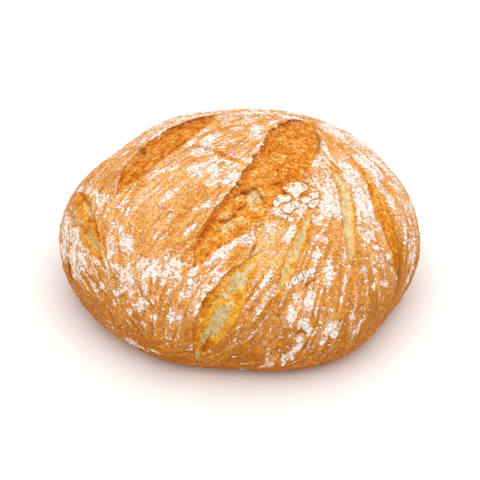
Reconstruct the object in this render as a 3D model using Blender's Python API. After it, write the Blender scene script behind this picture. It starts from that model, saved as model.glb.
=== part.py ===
"""A rustic round loaf of Italian bread, as one closed solid standing on its flat foot.

The loaf is a dome. Each meridian is a superellipse from the crown down to the widest line, the
girth, and a second one from the girth in to the foot, where the loaf met the oven floor. The outline
in plan is a circle with a few low lobes. The baker's cuts are grooves with a raised lip on their west
side, and the dough swells between them.

Places on the crust are given as on a map made with a tape measure: (east, north) is the point at
which a tape ends that runs from the crown over the crust, in that compass direction, for that
distance. East is +X and north is +Y. The origin is on the flat foot, below the crown.
"""

from typing import NamedTuple

import bmesh
import bpy
import numpy as np

MM = 0.001


class Swelling(NamedTuple):
    """A place where the dough swells: where its middle is, its radius and its height, all in mm."""

    east: float
    north: float
    radius: float
    height: float


class Cut(NamedTuple):
    """One of the baker's cuts.

    course: stops from north to south, each (east, north, half width) in mm.
    depth, lip: the depth of the groove and the height of its raised west lip, in mm.
    floor_at: where the floor lies across the groove, from -1 at the west lip to 1 at the east one.
    """

    course: tuple
    depth: float
    lip: float
    floor_at: float


# Driving dimensions.
MEAN_RADIUS = 128 * MM
CROWN_HEIGHT = 105 * MM
GIRTH_HEIGHT = 36 * MM
FOOT_SHARE = 0.86
DOME_ROUNDNESS = 2.3
FLANK_ROUNDNESS = 2.0

# Lobes of the outline in plan: waves round the loaf, cosine share and sine share of the radius.
LOBES = (
    (2, 0.035, 0.0),
    (3, -0.015, -0.010),
    (4, 0.0, 0.008),
    (6, 0.014, 0.0),
)

SWELLINGS = (
    Swelling(96, -104, 34, 2.5),
    Swelling(-62, -122, 34, 2.0),
    Swelling(142, -40, 26, 3.0),
    Swelling(-136, -48, 24, 1.8),
    Swelling(-8, 24, 30, 2.0),
    Swelling(-52, -48, 38, 2.0),
    Swelling(58, -28, 24, 1.8),
    Swelling(88, 62, 36, 2.2),
    Swelling(-60, 96, 34, 2.2),
    Swelling(20, 118, 38, 2.4),
)

SHOULDER_CUT = Cut(
    course=(
        (-20, 72, 3),
        (-38, 60, 9),
        (-55, 45, 13),
        (-69, 31, 13),
        (-80, 14, 11),
        (-88, -3, 8),
        (-93, -18, 3),
    ),
    depth=4.0,
    lip=1.6,
    floor_at=-0.3,
)
CROWN_CUT = Cut(
    course=(
        (46, 63, 4),
        (42, 48, 15),
        (37, 28, 20),
        (29, 2, 20),
        (17, -22, 18),
        (3, -45, 16),
        (-11, -66, 13.5),
        (-25, -84, 9),
        (-36, -97, 4),
    ),
    depth=6.5,
    lip=3.0,
    floor_at=-0.45,
)
FRONT_CUT = Cut(
    course=(
        (13, -84, 4),
        (5, -99, 9),
        (-5, -112, 13),
        (-12, -126, 15),
        (-19, -139, 13),
        (-28, -152, 9),
        (-37, -164, 4),
    ),
    depth=6.0,
    lip=2.2,
    floor_at=-0.3,
)
SECOND_CUT = Cut(
    course=((47, -52, 3), (46, -66, 5.5), (43, -80, 7), (37, -94, 6.5), (30, -109, 5.5), (23, -128, 3)),
    depth=4.0,
    lip=1.0,
    floor_at=0.0,
)
THIRD_CUT = Cut(
    course=((60, -3, 3), (68, -11, 4), (73, -22, 5), (76, -40, 5.5), (77, -64, 5), (75, -86, 3)),
    depth=3.5,
    lip=0.8,
    floor_at=0.0,
)
SIDE_CUT = Cut(
    course=(
        (86, 7, 3),
        (94, -3, 4.5),
        (100, -20, 6),
        (107, -40, 6.5),
        (117, -57, 6),
        (128, -70, 4.5),
        (140, -82, 3),
    ),
    depth=4.0,
    lip=1.2,
    floor_at=-0.3,
)
WEST_CUT = Cut(
    course=((-118, 3, 3), (-120, -10, 5.5), (-118, -30, 6), (-113, -50, 5.5), (-106, -68, 3.5)),
    depth=3.5,
    lip=1.2,
    floor_at=-0.3,
)
CUTS = (SHOULDER_CUT, CROWN_CUT, FRONT_CUT, SECOND_CUT, THIRD_CUT, SIDE_CUT, WEST_CUT)
LIP_REACH = 9 * MM
EAST_LIP_SHARE = 0.35
FOOT_FADE = 14 * MM

# Fineness of the solid's facets, and how far each corner is eased towards its neighbours.
GRID_CELLS = 66
EASING = 0.6
FOOT_EDGE_ANGLE = np.radians(40)
MERIDIAN_STEPS = 600
RADIUS_STEPS = 24
COURSE_STEPS = 60
SLOPE_STEP = 0.5 * MM

CRUST_COLOUR = (0.62, 0.33, 0.11, 1.0)
CRUST_ROUGHNESS = 0.8


def outline_radius(azimuth):
    """The girth's radius in each direction: the mean radius times one plus the lobes."""
    share = 1.0
    for waves, cosine, sine in LOBES:
        share = share + cosine * np.cos(waves * azimuth) + sine * np.sin(waves * azimuth)
    return MEAN_RADIUS * share


def meridian(radius, turn):
    """Distance from the axis and height on the meridian of this girth radius. Turn runs from 0 at the
    crown to 1 at the girth, as a superellipse, and on to 2 at the foot, as a second one."""
    upper = np.clip(turn, 0, 1) * np.pi / 2
    lower = np.clip(turn - 1, 0, 1) * np.pi / 2
    above = turn <= 1
    foot = FOOT_SHARE * radius
    out_upper = radius * np.sin(upper) ** (2 / DOME_ROUNDNESS)
    up_upper = GIRTH_HEIGHT + (CROWN_HEIGHT - GIRTH_HEIGHT) * np.cos(upper) ** (2 / DOME_ROUNDNESS)
    out_lower = foot + (radius - foot) * np.cos(lower) ** (2 / FLANK_ROUNDNESS)
    up_lower = GIRTH_HEIGHT * (1 - np.sin(lower) ** (2 / FLANK_ROUNDNESS))
    return np.where(above, out_upper, out_lower), np.where(above, up_upper, up_lower)


def tape_table():
    """For a row of girth radii, the tape's reading at each turn of the meridian."""
    radii = np.linspace(0.9, 1.1, RADIUS_STEPS) * MEAN_RADIUS
    turns = np.linspace(0, 2, MERIDIAN_STEPS)
    out, up = meridian(radii[:, None], turns[None, :])
    steps = np.hypot(np.diff(out, axis=1), np.diff(up, axis=1))
    tape = np.concatenate([np.zeros((RADIUS_STEPS, 1)), np.cumsum(steps, axis=1)], axis=1)
    return radii, turns, tape


RADII, TURNS, TAPE = tape_table()


def between_radii(radius):
    """The table's row below each girth radius, and the share of the way to the next row."""
    place = (radius - RADII[0]) / (RADII[1] - RADII[0])
    row = np.clip(place.astype(int), 0, RADIUS_STEPS - 2)
    return row, place - row


def foot_tape(azimuth):
    """The tape's reading where the meridian in this direction meets the ground."""
    return np.interp(outline_radius(azimuth), RADII, TAPE[:, -1])


def dome(east, north):
    """Points on the plain dome for map places: the turn of the meridian is looked up from the tape's
    reading, and its formula gives the point."""
    azimuth = np.arctan2(north, east)
    tape = np.hypot(east, north)
    radius = outline_radius(azimuth)
    row, share = between_radii(radius)
    turn = np.zeros_like(tape)
    for low in range(RADIUS_STEPS - 1):
        here = row == low
        turn_low = np.interp(tape[here], TAPE[low], TURNS)
        turn_high = np.interp(tape[here], TAPE[low + 1], TURNS)
        turn[here] = turn_low * (1 - share[here]) + turn_high * share[here]
    out, up = meridian(radius, turn)
    return np.stack([out * np.cos(azimuth), out * np.sin(azimuth), up], axis=-1)


def outward(east, north):
    """The dome's outward normals, from the cross product of its slopes to the east and north."""
    to_east = dome(east + SLOPE_STEP, north) - dome(east - SLOPE_STEP, north)
    to_north = dome(east, north + SLOPE_STEP) - dome(east, north - SLOPE_STEP)
    normal = np.cross(to_east, to_north)
    return normal / np.linalg.norm(normal, axis=-1, keepdims=True)


def spline(stops, count):
    """A smooth line through the stops: cubic pieces whose slope at a stop is that of the line between
    its neighbours."""
    stops = np.asarray(stops, float)
    slopes = np.gradient(stops, axis=0)
    place = np.linspace(0, len(stops) - 1, count)
    start = np.minimum(place.astype(int), len(stops) - 2)
    t = (place - start)[:, None]
    a, b, slope_a, slope_b = stops[start], stops[start + 1], slopes[start], slopes[start + 1]
    return (
        a * (2 * t**3 - 3 * t**2 + 1)
        + slope_a * (t**3 - 2 * t**2 + t)
        + b * (3 * t**2 - 2 * t**3)
        + slope_b * (t**3 - t**2)
    )


def cut_relief(points, cut):
    """How far one cut moves each point along its normal. Across the cut, the groove falls in half a
    wave from the west lip to its floor, and rises in another to the east lip. Outside, each lip dies
    away exponentially."""
    line = spline(cut.course, COURSE_STEPS) * MM
    centre = dome(line[:, 0], line[:, 1])
    upward = outward(line[:, 0], line[:, 1])
    forward = np.gradient(centre, axis=0)
    step = np.linalg.norm(forward, axis=1, keepdims=True)
    eastward = np.cross(upward, forward / step)
    away = np.linalg.norm(points[:, None] - centre[None], axis=2)
    nearest = away.argmin(axis=1)
    offset = points - centre[nearest]
    across = np.einsum("ij,ij->i", offset, eastward[nearest])
    past_end = np.abs(np.einsum("ij,ij->i", offset, forward[nearest] / step[nearest])) - step[nearest, 0]
    half = line[nearest, 2]
    fade = np.clip(1 - past_end / half, 0, 1)
    strength = half / line[:, 2].max() * fade
    x = across / half
    west_wall = np.clip((x + 1) / (cut.floor_at + 1), 0, 1)
    east_slope = np.clip((1 - x) / (1 - cut.floor_at), 0, 1)
    groove = np.sin(np.pi / 2 * np.where(x < cut.floor_at, west_wall, east_slope)) ** 2
    outside = np.maximum(np.abs(across) - half, 0)
    raised = np.where(x < 0, 1, EAST_LIP_SHARE) * np.exp(-outside / LIP_REACH)
    return strength * MM * np.where(np.abs(x) < 1, -cut.depth * groove, cut.lip * raised)


def crust(east, north):
    """Points on the finished crust. Relief fades to nothing at the foot, so that the foot stays flat."""
    points = dome(east, north)
    tape = np.hypot(east, north)
    relief = np.zeros(len(points))
    for place in SWELLINGS:
        away = np.hypot(east - place.east * MM, north - place.north * MM) / (place.radius * MM)
        relief += place.height * MM * np.exp(-(away**2))
    for cut in CUTS:
        relief += cut_relief(points, cut)
    foot = foot_tape(np.arctan2(north, east))
    fade = np.clip((foot - tape) / FOOT_FADE, 0, 1)
    return points + outward(east, north) * (relief * fade)[:, None]


def disc_from_square(a, b):
    """A square from -1 to 1 carried onto a disc: squares round the middle become rings, so that the
    mesh has no crowded pole. Returns the share of the way from the middle to the rim, and the azimuth."""
    wide = np.abs(a) > np.abs(b)
    ring = np.where(wide, a, b)
    safe = np.where(ring == 0, 1, ring)
    azimuth = np.where(wide, np.pi / 4 * b / safe, np.pi / 2 - np.pi / 4 * a / safe)
    azimuth = np.where(ring < 0, azimuth + np.pi, azimuth)
    return np.abs(ring), azimuth


def loaf_mesh():
    """A square grid is wrapped over the dome, its lips are eased, and its edge is closed by the flat
    foot."""
    body = bmesh.new()
    bmesh.ops.create_grid(body, x_segments=GRID_CELLS, y_segments=GRID_CELLS, size=1)
    square = np.array([vert.co for vert in body.verts])
    share, azimuth = disc_from_square(square[:, 0], square[:, 1])
    tape = share * foot_tape(azimuth)
    points = crust(tape * np.cos(azimuth), tape * np.sin(azimuth))
    for vert, point in zip(body.verts, points):
        vert.co = point
        if vert.is_boundary:
            vert.co.z = 0
    inner = [vert for vert in body.verts if not vert.is_boundary]
    bmesh.ops.smooth_vert(body, verts=inner, factor=EASING, use_axis_x=True, use_axis_y=True, use_axis_z=True)
    bmesh.ops.edgeloop_fill(body, edges=[edge for edge in body.edges if edge.is_boundary])
    bmesh.ops.recalc_face_normals(body, faces=body.faces)
    mesh = bpy.data.meshes.new("loaf")
    body.to_mesh(mesh)
    body.free()
    mesh.shade_smooth()
    mesh.set_sharp_from_angle(angle=FOOT_EDGE_ANGLE)
    return mesh


def crust_material():
    """Golden-brown baked crust."""
    material = bpy.data.materials.new("crust")
    material.use_nodes = True
    shader = material.node_tree.nodes["Principled BSDF"]
    shader.inputs["Base Color"].default_value = CRUST_COLOUR
    shader.inputs["Roughness"].default_value = CRUST_ROUGHNESS
    shader.inputs["Metallic"].default_value = 0.0
    return material


def clear_scene():
    """Removes whatever the scene holds."""
    for thing in list(bpy.data.objects):
        bpy.data.objects.remove(thing)


def main():
    clear_scene()
    loaf = bpy.data.objects.new("loaf", loaf_mesh())
    loaf.data.materials.append(crust_material())
    bpy.context.scene.collection.objects.link(loaf)


main()
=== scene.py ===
"""A round rustic loaf of Italian bread: its crust, slashes, ears, crumb and flour.

Places on the crust are given as on a map made with a tape measure. (east, north) is the spot at
which a tape ends that runs from the crown over the crust, in that compass direction, for that many
millimetres. East is +X and north is +Y. Heights are in millimetres above the plain dome, along its
normal. Meshes are in metres.
"""

from __future__ import annotations

import logging
import math
from collections.abc import Sequence
from dataclasses import dataclass, field, replace
from enum import Enum
from itertools import combinations

import bpy
import numpy as np
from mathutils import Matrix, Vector


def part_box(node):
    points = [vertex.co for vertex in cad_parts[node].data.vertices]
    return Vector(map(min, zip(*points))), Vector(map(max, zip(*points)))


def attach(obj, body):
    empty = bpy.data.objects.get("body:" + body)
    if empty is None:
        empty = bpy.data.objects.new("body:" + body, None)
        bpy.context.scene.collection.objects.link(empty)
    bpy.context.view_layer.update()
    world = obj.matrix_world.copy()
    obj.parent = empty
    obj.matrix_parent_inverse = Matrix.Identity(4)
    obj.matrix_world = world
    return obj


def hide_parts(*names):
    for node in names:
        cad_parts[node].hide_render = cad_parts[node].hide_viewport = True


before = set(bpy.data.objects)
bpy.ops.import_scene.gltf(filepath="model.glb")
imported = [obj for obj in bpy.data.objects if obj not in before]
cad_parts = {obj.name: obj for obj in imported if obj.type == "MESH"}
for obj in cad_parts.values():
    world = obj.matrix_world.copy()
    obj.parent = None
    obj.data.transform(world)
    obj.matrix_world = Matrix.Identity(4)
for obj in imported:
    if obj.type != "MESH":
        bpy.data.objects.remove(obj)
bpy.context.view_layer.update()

Array = np.ndarray
LOG = logging.getLogger("italian_bread")

BODY = "root"
NODE = "loaf"
SLOT = "crust"
MM = 0.001
FAR = 1000.0  # mm, further than any place lies from a course
BATCH = 8000  # places that are compared with a course at a time
LIP_FADE = 9.0  # mm over which the crust beside a cut falls to a third of its lip


# ---- numbers and noise


def ease(low: float, high: float, value: Array) -> Array:
    """A smooth step from 0 at low to 1 at high: three times the square less twice the cube.

    Args:
        low: Where the step starts.
        high: Where the step ends. It may lie below low, for a step down.
        value: The numbers to step.

    Returns:
        Numbers from 0 to 1.
    """
    part = np.clip((value - low) / (high - low), 0, 1)
    return part * part * (3 - 2 * part)


def bell(value: Array) -> Array:
    """A bell curve, 1 at zero: e to the minus square."""
    return np.exp(-(value**2))


class Noise:
    """Value noise: seeded random numbers at the whole-number points of a lattice, joined by smooth
    curves, and repeated every SIZE steps. A number added to the places gives another such noise.

    SHIFT keeps the layers apart. STRAY is how far a pore lies from its square's middle at most, and
    SMALLEST and SPREAD give the pores' radii, all as shares of a square's side.
    """

    SIZE = 48
    SHIFT = 17.3
    STRAY = 0.35
    SMALLEST, SPREAD = 0.12, 0.34

    def __init__(self, seed: int) -> None:
        """Draws the lattice's numbers.

        Args:
            seed: The seed of the random numbers.
        """
        self.table = np.random.default_rng(seed).uniform(-1, 1, (self.SIZE,) * 3)

    def at(self, points: Array, wavelength: float) -> Array:
        """The noise at each point, from -1 to 1.

        Args:
            points: (n, 3) points in mm.
            wavelength: The lattice's step in mm.

        Returns:
            (n,) numbers: the eight corners of each cell, weighted by the smooth share of the way.
        """
        place = points / wavelength
        corner = np.floor(place).astype(int)
        share = place - corner
        share = share * share * (3 - 2 * share)
        total = np.zeros(len(points))
        for step in np.ndindex(2, 2, 2):
            weight = np.prod(np.where(step, share, 1 - share), axis=1)
            total += weight * self.table[tuple(((corner + step) % self.SIZE).T)]
        return total

    def layers(self, points: Array, wavelength: float, count: int) -> Array:
        """Layers of noise, each of half the wavelength and half the height of the last.

        Args:
            points: (n, 3) points in mm.
            wavelength: The first layer's wavelength in mm.
            count: How many layers there are.

        Returns:
            (n,) numbers, about -1 to 1.
        """
        total = np.zeros(len(points))
        for layer in range(count):
            total += self.at(points + self.SHIFT * layer, wavelength / 2**layer) / 2**layer
        return total / (2 - 2.0 ** (1 - count))

    def pores(self, spots: Array, spacing: float) -> Array:
        """Round pores, one near the middle of each square of a lattice, of a random place and size.

        Args:
            spots: (n, 2) places on the map, in mm.
            spacing: The lattice's step in mm.

        Returns:
            (n,) numbers: one less the squared distance from the pore's middle, in radii, or 0.
        """
        place = spots / spacing
        square = np.floor(place).astype(int)
        deepest = np.zeros(len(spots))
        for step in np.ndindex(3, 3):
            here = square + step - 1
            row, column = (here % self.SIZE).T
            middle = here + 0.5 + self.STRAY * self.table[row, column][:, :2]
            radius = self.SMALLEST + self.SPREAD * np.abs(self.table[row, column, 2])
            away = np.linalg.norm(place - middle, axis=1) / radius
            deepest = np.maximum(deepest, 1 - away**2)
        return deepest


def flat(spots: Array) -> Array:
    """Map places as (n, 3) points for the noise."""
    return np.pad(spots, ((0, 0), (0, 1)))


def polar(spots: Array) -> tuple[Array, Array]:
    """The direction of each place from the crown, in radians from east, and the tape's reading."""
    return np.arctan2(spots[:, 1], spots[:, 0]), np.hypot(spots[:, 0], spots[:, 1])


def mapped(azimuth: Array, reading: Array) -> Array:
    """(n, 2) places on the map from directions in radians and the tape's readings."""
    return np.stack([reading * np.cos(azimuth), reading * np.sin(azimuth)], axis=1)


# ---- the plain dome

CROWN_SHARE = 0.974  # of the solid's height, which includes the highest lip
GIRTH_SHARE = 0.343  # of the crown's height
WIDTH_IN_RADII = 2.0985


@dataclass(frozen=True)
class Dome:
    """The loaf without its relief: superellipses from the crown to the girth and from the girth to
    the foot, round an outline in plan with a few low lobes. Sizes are in mm.

    foot_share: the foot's radius as a share of the girth's. roundness: the upper superellipse's
    power. lobes: waves round the outline, and the heights of their cosine and sine.
    """

    mean_radius: float
    crown_height: float
    girth_height: float
    foot_share: float = 0.86
    roundness: float = 2.3
    lobes: tuple[tuple[int, float, float], ...] = (
        (2, 0.035, 0.0), (3, -0.015, -0.010), (4, 0.0, 0.008), (6, 0.014, 0.0),
    )
    table: tuple[Array, Array, Array] = field(init=False, repr=False)

    def __post_init__(self) -> None:
        """Tabulates the tape's reading at each turn of the meridian, for a row of girth radii."""
        radii = np.linspace(0.9, 1.1, 24) * self.mean_radius
        turns = np.linspace(0, 2, 900)
        out, up = self.meridian(radii[:, None], turns[None, :])
        steps = np.hypot(np.diff(out, axis=1), np.diff(up, axis=1))
        tape = np.concatenate([np.zeros((len(radii), 1)), np.cumsum(steps, axis=1)], axis=1)
        object.__setattr__(self, "table", (radii, turns, tape))

    @classmethod
    def from_frame(cls) -> Dome:
        """The dome that the solid in the frame was made on: its radius and its heights as shares of
        the solid's box, whose height includes the highest lip.

        Returns:
            The dome.
        """
        low, high = (np.array(corner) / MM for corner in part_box(NODE))
        crown = (high[2] - low[2]) * CROWN_SHARE
        return cls((high[0] - low[0]) / WIDTH_IN_RADII, crown, crown * GIRTH_SHARE)

    def outline(self, azimuth: Array) -> Array:
        """The girth's radius in each direction: the mean radius times one plus the lobes.

        Args:
            azimuth: Directions in radians from east.

        Returns:
            Radii in mm.
        """
        share = np.ones_like(azimuth)
        for waves, cosine, sine in self.lobes:
            share = share + cosine * np.cos(waves * azimuth) + sine * np.sin(waves * azimuth)
        return self.mean_radius * share

    def meridian(self, radius: Array, turn: Array) -> tuple[Array, Array]:
        """The two quarters of a meridian.

        Args:
            radius: The girth's radius.
            turn: 0 at the crown, 1 at the girth and 2 at the foot.

        Returns:
            The distance from the axis and the height: powers of a sine and a cosine.
        """
        upper = np.clip(turn, 0, 1) * np.pi / 2
        lower = np.clip(turn - 1, 0, 1) * np.pi / 2
        foot = self.foot_share * radius
        power = 2 / self.roundness
        out_upper = radius * np.sin(upper) ** power
        up_upper = self.girth_height + (self.crown_height - self.girth_height) * np.cos(upper) ** power
        out_lower = foot + (radius - foot) * np.cos(lower)
        up_lower = self.girth_height * (1 - np.sin(lower))
        above = turn <= 1
        return np.where(above, out_upper, out_lower), np.where(above, up_upper, up_lower)

    def foot_tape(self, azimuth: Array) -> Array:
        """The tape's reading where the meridian in each direction meets the ground."""
        radii, _, tape = self.table
        return np.interp(self.outline(azimuth), radii, tape[:, -1])

    def place(self, spots: Array) -> Array:
        """Points of the dome in mm. The turn of the meridian is looked up from the tape's reading,
        between two rows of the table, and its formula gives the point.

        Args:
            spots: (n, 2) places on the map, in mm.

        Returns:
            (n, 3) points.
        """
        radii, turns, tape = self.table
        azimuth, reading = polar(spots)
        radius = self.outline(azimuth)
        where = (radius - radii[0]) / (radii[1] - radii[0])
        row = np.clip(where.astype(int), 0, len(radii) - 2)
        share = where - row
        turn = np.zeros_like(reading)
        for low in np.unique(row):
            here = row == low
            turn_low = np.interp(reading[here], tape[low], turns)
            turn_high = np.interp(reading[here], tape[low + 1], turns)
            turn[here] = turn_low * (1 - share[here]) + turn_high * share[here]
        out, up = self.meridian(radius, turn)
        return np.stack([out * np.cos(azimuth), out * np.sin(azimuth), up], axis=-1)

    def upright(self, spots: Array, step: float = 0.6) -> Array:
        """Outward normals: the cross product of the dome's slopes to the east and to the north.

        Args:
            spots: (n, 2) places on the map, in mm.
            step: Half of the distance that the slopes are taken over, in mm.

        Returns:
            (n, 3) unit vectors.
        """
        to_east, to_north = (self.place(spots + way) - self.place(spots - way) for way in step * np.eye(2))
        normal = np.cross(to_east, to_north)
        return normal / np.linalg.norm(normal, axis=-1, keepdims=True)


# ---- places on the crust


@dataclass(frozen=True)
class Patch:
    """An oval place on the crust, with a long axis turned by an angle from east, in degrees."""

    east: float
    north: float
    length: float
    width: float
    angle: float = 0.0
    weight: float = 1.0

    def cover(self, spots: Array) -> Array:
        """How much the patch covers each place: the weight times e to the minus fourth power of the
        distance, counted in half axes.

        Args:
            spots: (n, 2) places on the map, in mm.

        Returns:
            (n,) numbers, the weight at most.
        """
        turn = math.radians(self.angle)
        east, north = (spots - (self.east, self.north)).T
        along = east * math.cos(turn) + north * math.sin(turn)
        across = north * math.cos(turn) - east * math.sin(turn)
        away = (2 * along / self.length) ** 2 + (2 * across / self.width) ** 2
        return self.weight * np.exp(-(away**2))


def cover_all(group: Sequence[Patch], spots: Array) -> Array:
    """The most that any patch of a group covers each place.

    Args:
        group: The patches.
        spots: (n, 2) places on the map, in mm.

    Returns:
        (n,) numbers.
    """
    total = np.zeros(len(spots))
    for patch in group:
        total = np.maximum(total, patch.cover(spots))
    return total


Stops = tuple[tuple[float, float, float], ...]


@dataclass(frozen=True)
class Band:
    """Where places lie beside a course, in mm: their signed distance across it, positive to its left
    as it is walked from its start, its half width there, and how far past an end they are."""

    across: Array
    half: Array
    past: Array


@dataclass(frozen=True)
class Course:
    """A smooth line over the crust through stops of (east, north, half width)."""

    stops: Stops
    count: int = 240

    @property
    def widest(self) -> float:
        """The largest half width at a stop."""
        return max(stop[2] for stop in self.stops)

    def line(self, count: int | None = None) -> Array:
        """The course as cubic pieces, whose slope at a stop is that of the line between its
        neighbours.

        Args:
            count: How many samples to take.

        Returns:
            (count, 3) rows of east, north and half width.
        """
        stops = np.asarray(self.stops, float)
        slopes = np.gradient(stops, axis=0)
        place = np.linspace(0, len(stops) - 1, count or self.count)
        start = np.minimum(place.astype(int), len(stops) - 2)
        t = (place - start)[:, None]
        return (
            stops[start] * (2 * t**3 - 3 * t**2 + 1)
            + slopes[start] * (t**3 - 2 * t**2 + t)
            + stops[start + 1] * (3 * t**2 - 2 * t**3)
            + slopes[start + 1] * (t**3 - t**2)
        )

    def directions(self, line: Array) -> tuple[Array, Array]:
        """Unit vectors along the line, and the same turned to the left.

        Args:
            line: Samples of the course.

        Returns:
            Two (count, 2) arrays.
        """
        forward = np.gradient(line[:, :2], axis=0)
        forward /= np.linalg.norm(forward, axis=1, keepdims=True)
        return forward, np.stack([-forward[:, 1], forward[:, 0]], axis=1)

    def rail(self, pitch: float) -> tuple[Array, Array]:
        """The course at even steps, for a piece that runs along it.

        Args:
            pitch: The step in mm.

        Returns:
            Rows of east, north and half width, and the unit vectors across the course.
        """
        rough = self.line()
        length = np.linalg.norm(np.diff(rough[:, :2], axis=0), axis=1).sum()
        line = self.line(int(length / pitch))
        return line, self.directions(line)[1]

    def locate(self, spots: Array, margin: float = 34.0) -> Band:
        """Where each place lies beside the course: its offset from the nearest sample, measured
        along and across the line there.

        Args:
            spots: (n, 2) places on the map, in mm.
            margin: How far from the course places are looked at. Others count as far away.

        Returns:
            The band.
        """
        line = self.line()
        forward, aside = self.directions(line)
        low, high = line[:, :2].min(0) - margin, line[:, :2].max(0) + margin
        near = np.flatnonzero(np.all((spots > low) & (spots < high), axis=1))
        across, past = np.full(len(spots), FAR), np.full(len(spots), FAR)
        half = np.full(len(spots), line[:, 2].min())
        for part in np.array_split(near, max(1, len(near) // BATCH)):
            offset = spots[part][:, None] - line[None, :, :2]
            nearest = (offset**2).sum(axis=2).argmin(axis=1)
            offset = offset[np.arange(len(part)), nearest]
            across[part] = (offset * aside[nearest]).sum(axis=1)
            past[part] = np.abs((offset * forward[nearest]).sum(axis=1))
            half[part] = line[nearest, 2]
        return Band(across, half, past)


# ---- slashes


@dataclass(frozen=True)
class Crack:
    """A thin crack: its course, its depth in mm, and how golden, how dark and how well baked its
    inside is. Its dark is painted shade in the crack, with some scorching."""

    course: Course
    depth: float = 0.9
    golden: float = 0.5
    dark: float = 0.6
    bake: float = 0.0

    def mark(self, spots: Array) -> Array:
        """1 in the crack's middle, dying away across it and past its ends as bell curves."""
        band = self.course.locate(spots, margin=6.0)
        return bell(band.across / band.half) * bell(np.maximum(band.past - 0.5, 0))


class Inside(Enum):
    """What shows inside a slash."""

    BLOOM = "rough golden crust, torn open early in the oven and well baked"
    SKIN = "smooth golden-brown skin"
    CRUMB = "pale crumb between yellow borders, torn open late"


@dataclass(frozen=True)
class Ear:
    """The ragged edge of crust that stands over a slash, on its first side. Sizes are in mm.

    reach: how far its root lies outside the slash. overhang: how far it leans over the slash.
    height: how far it stands up. start, end: the shares of the course between which it runs.
    """

    reach: float = 8.0
    overhang: float = 1.8
    height: float = 1.6
    thickness: float = 1.1
    start: float = 0.03
    end: float = 0.97


@dataclass(frozen=True)
class Slash:
    """One cut of the baker's blade, opened by the oven. Sizes are in mm.

    depth: how far the floor lies below the dome.
    lip, far_lip: how far the crust rises beside the cut, on its first side and on its other one.
    floor_at: where the deepest line lies, from -1 at the first side to 1 at the other.
    bulge: how far the floor swells up again.
    step: the small drop from the crust to the floor at the edge.
    pools, pool_share: where pale crumb shows: in patches, and over this share of the half width.
    gold: where the slopes are a clear golden yellow.
    fade: over how much of each side its colours fade into the crust's.
    """

    name: str
    course: Course
    inside: Inside
    depth: float
    lip: float = 1.0
    far_lip: float = 0.4
    floor_at: float = -0.4
    bulge: float = 0.0
    step: float = 0.6
    bake: float = 0.0
    fade: float = 0.6
    ears: tuple[Ear, ...] = ()
    pools: tuple[Patch, ...] = ()
    pool_share: float = 0.0
    gold: tuple[Patch, ...] = ()
    tears: tuple[Crack, ...] = ()
    lumps: tuple[Patch, ...] = ()

    def strength(self, band: Band) -> Array:
        """How fully the slash is open at each place: less where it is narrow and past its ends.

        Args:
            band: Where the places lie.

        Returns:
            Numbers from 0 to 1.
        """
        fade = np.clip(1 - np.maximum(band.past - 1.0, 0) / np.maximum(band.half, 1), 0, 1)
        return np.clip(band.half / self.course.widest, 0, 1) ** 0.9 * fade

    def floor(self, band: Band) -> Array:
        """Height of the floor: half a wave down from the first side, a power curve up to the other,
        plus half a wave for the bulge.

        Args:
            band: Where the places lie.

        Returns:
            Heights in mm.
        """
        x = np.clip(band.across / band.half, -1, 1)
        west = np.clip((x + 1) / (self.floor_at + 1), 0, 1)
        east = np.clip((1 - x) / (1 - self.floor_at), 0, 1)
        groove = np.where(x < self.floor_at, np.sin(np.pi / 2 * west) ** 2, east**1.4)
        swell = np.where(x < self.floor_at, 0, np.sin(np.pi * (1 - east)))
        return self.strength(band) * (self.bulge * swell - self.depth * groove) - self.step

    def lips(self, band: Band) -> Array:
        """Height of the crust beside the cut, dying away exponentially.

        Args:
            band: Where the places lie.

        Returns:
            Heights in mm.
        """
        outside = np.maximum(np.abs(band.across) - band.half, 0)
        side = np.where(band.across < 0, self.lip, self.far_lip)
        return self.strength(band) * side * np.exp(-outside / LIP_FADE)

    def pooled(self, band: Band, spots: Array, noise: Noise) -> Array:
        """How much of the crumb shows: in the pools, and in the middle of the band, with ragged
        borders. From 0 to about 1, with the border at a half.

        Args:
            band: Where the places lie.
            spots: (n, 2) places on the map, in mm.
            noise: The noise that makes the borders ragged.

        Returns:
            (n,) numbers.
        """
        pools = cover_all(self.pools, spots)
        ragged = noise.layers(flat(spots) + 19, 5, 3)
        middle = ease(1.3, 0.7, np.abs(band.across) / np.maximum(band.half * self.pool_share, 0.4))
        middle = middle * (self.pool_share > 0) * ease(1.0, 2.4, band.half)
        return np.maximum(pools, middle) * (1 + 0.2 * ragged) + 0.55 * ragged

    def opened(self, band: Band, fade: float = 0.6) -> Array:
        """1 inside the slash and 0 outside, with a smooth step of so many mm on each side."""
        return ease(-fade, fade, band.half - np.abs(band.across)) * (band.past < 1.5)


# ---- the paint on a surface


@dataclass
class Coat:
    """What the baked crust's finish reads at each vertex, each from 0 to about 1.

    flour: thickness of the flour. open: torn, fibrous crust. skin: smooth crust without flour.
    crumb: pale crumb. yellow: yellow borders. bake: browner above 0, paler below. dark: painted shade
    in cracks, pits and on the sides of scales, with some scorching. grain: stretch marks.
    """

    flour: Array
    open: Array
    skin: Array
    crumb: Array
    yellow: Array
    bake: Array
    dark: Array
    grain: Array

    def write(self, mesh: bpy.types.Mesh) -> None:
        """Writes each value as an attribute of the mesh's vertices.

        Args:
            mesh: The mesh.
        """
        for name, values in vars(self).items():
            layer = mesh.attributes.new(name, "FLOAT", "POINT")
            layer.data.foreach_set("value", np.asarray(values, np.float32))


# ---- stretch marks


@dataclass(frozen=True)
class Stretch:
    """A place where the skin of the dough was pulled in one direction, in degrees from east."""

    east: float
    north: float
    angle: float


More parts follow.
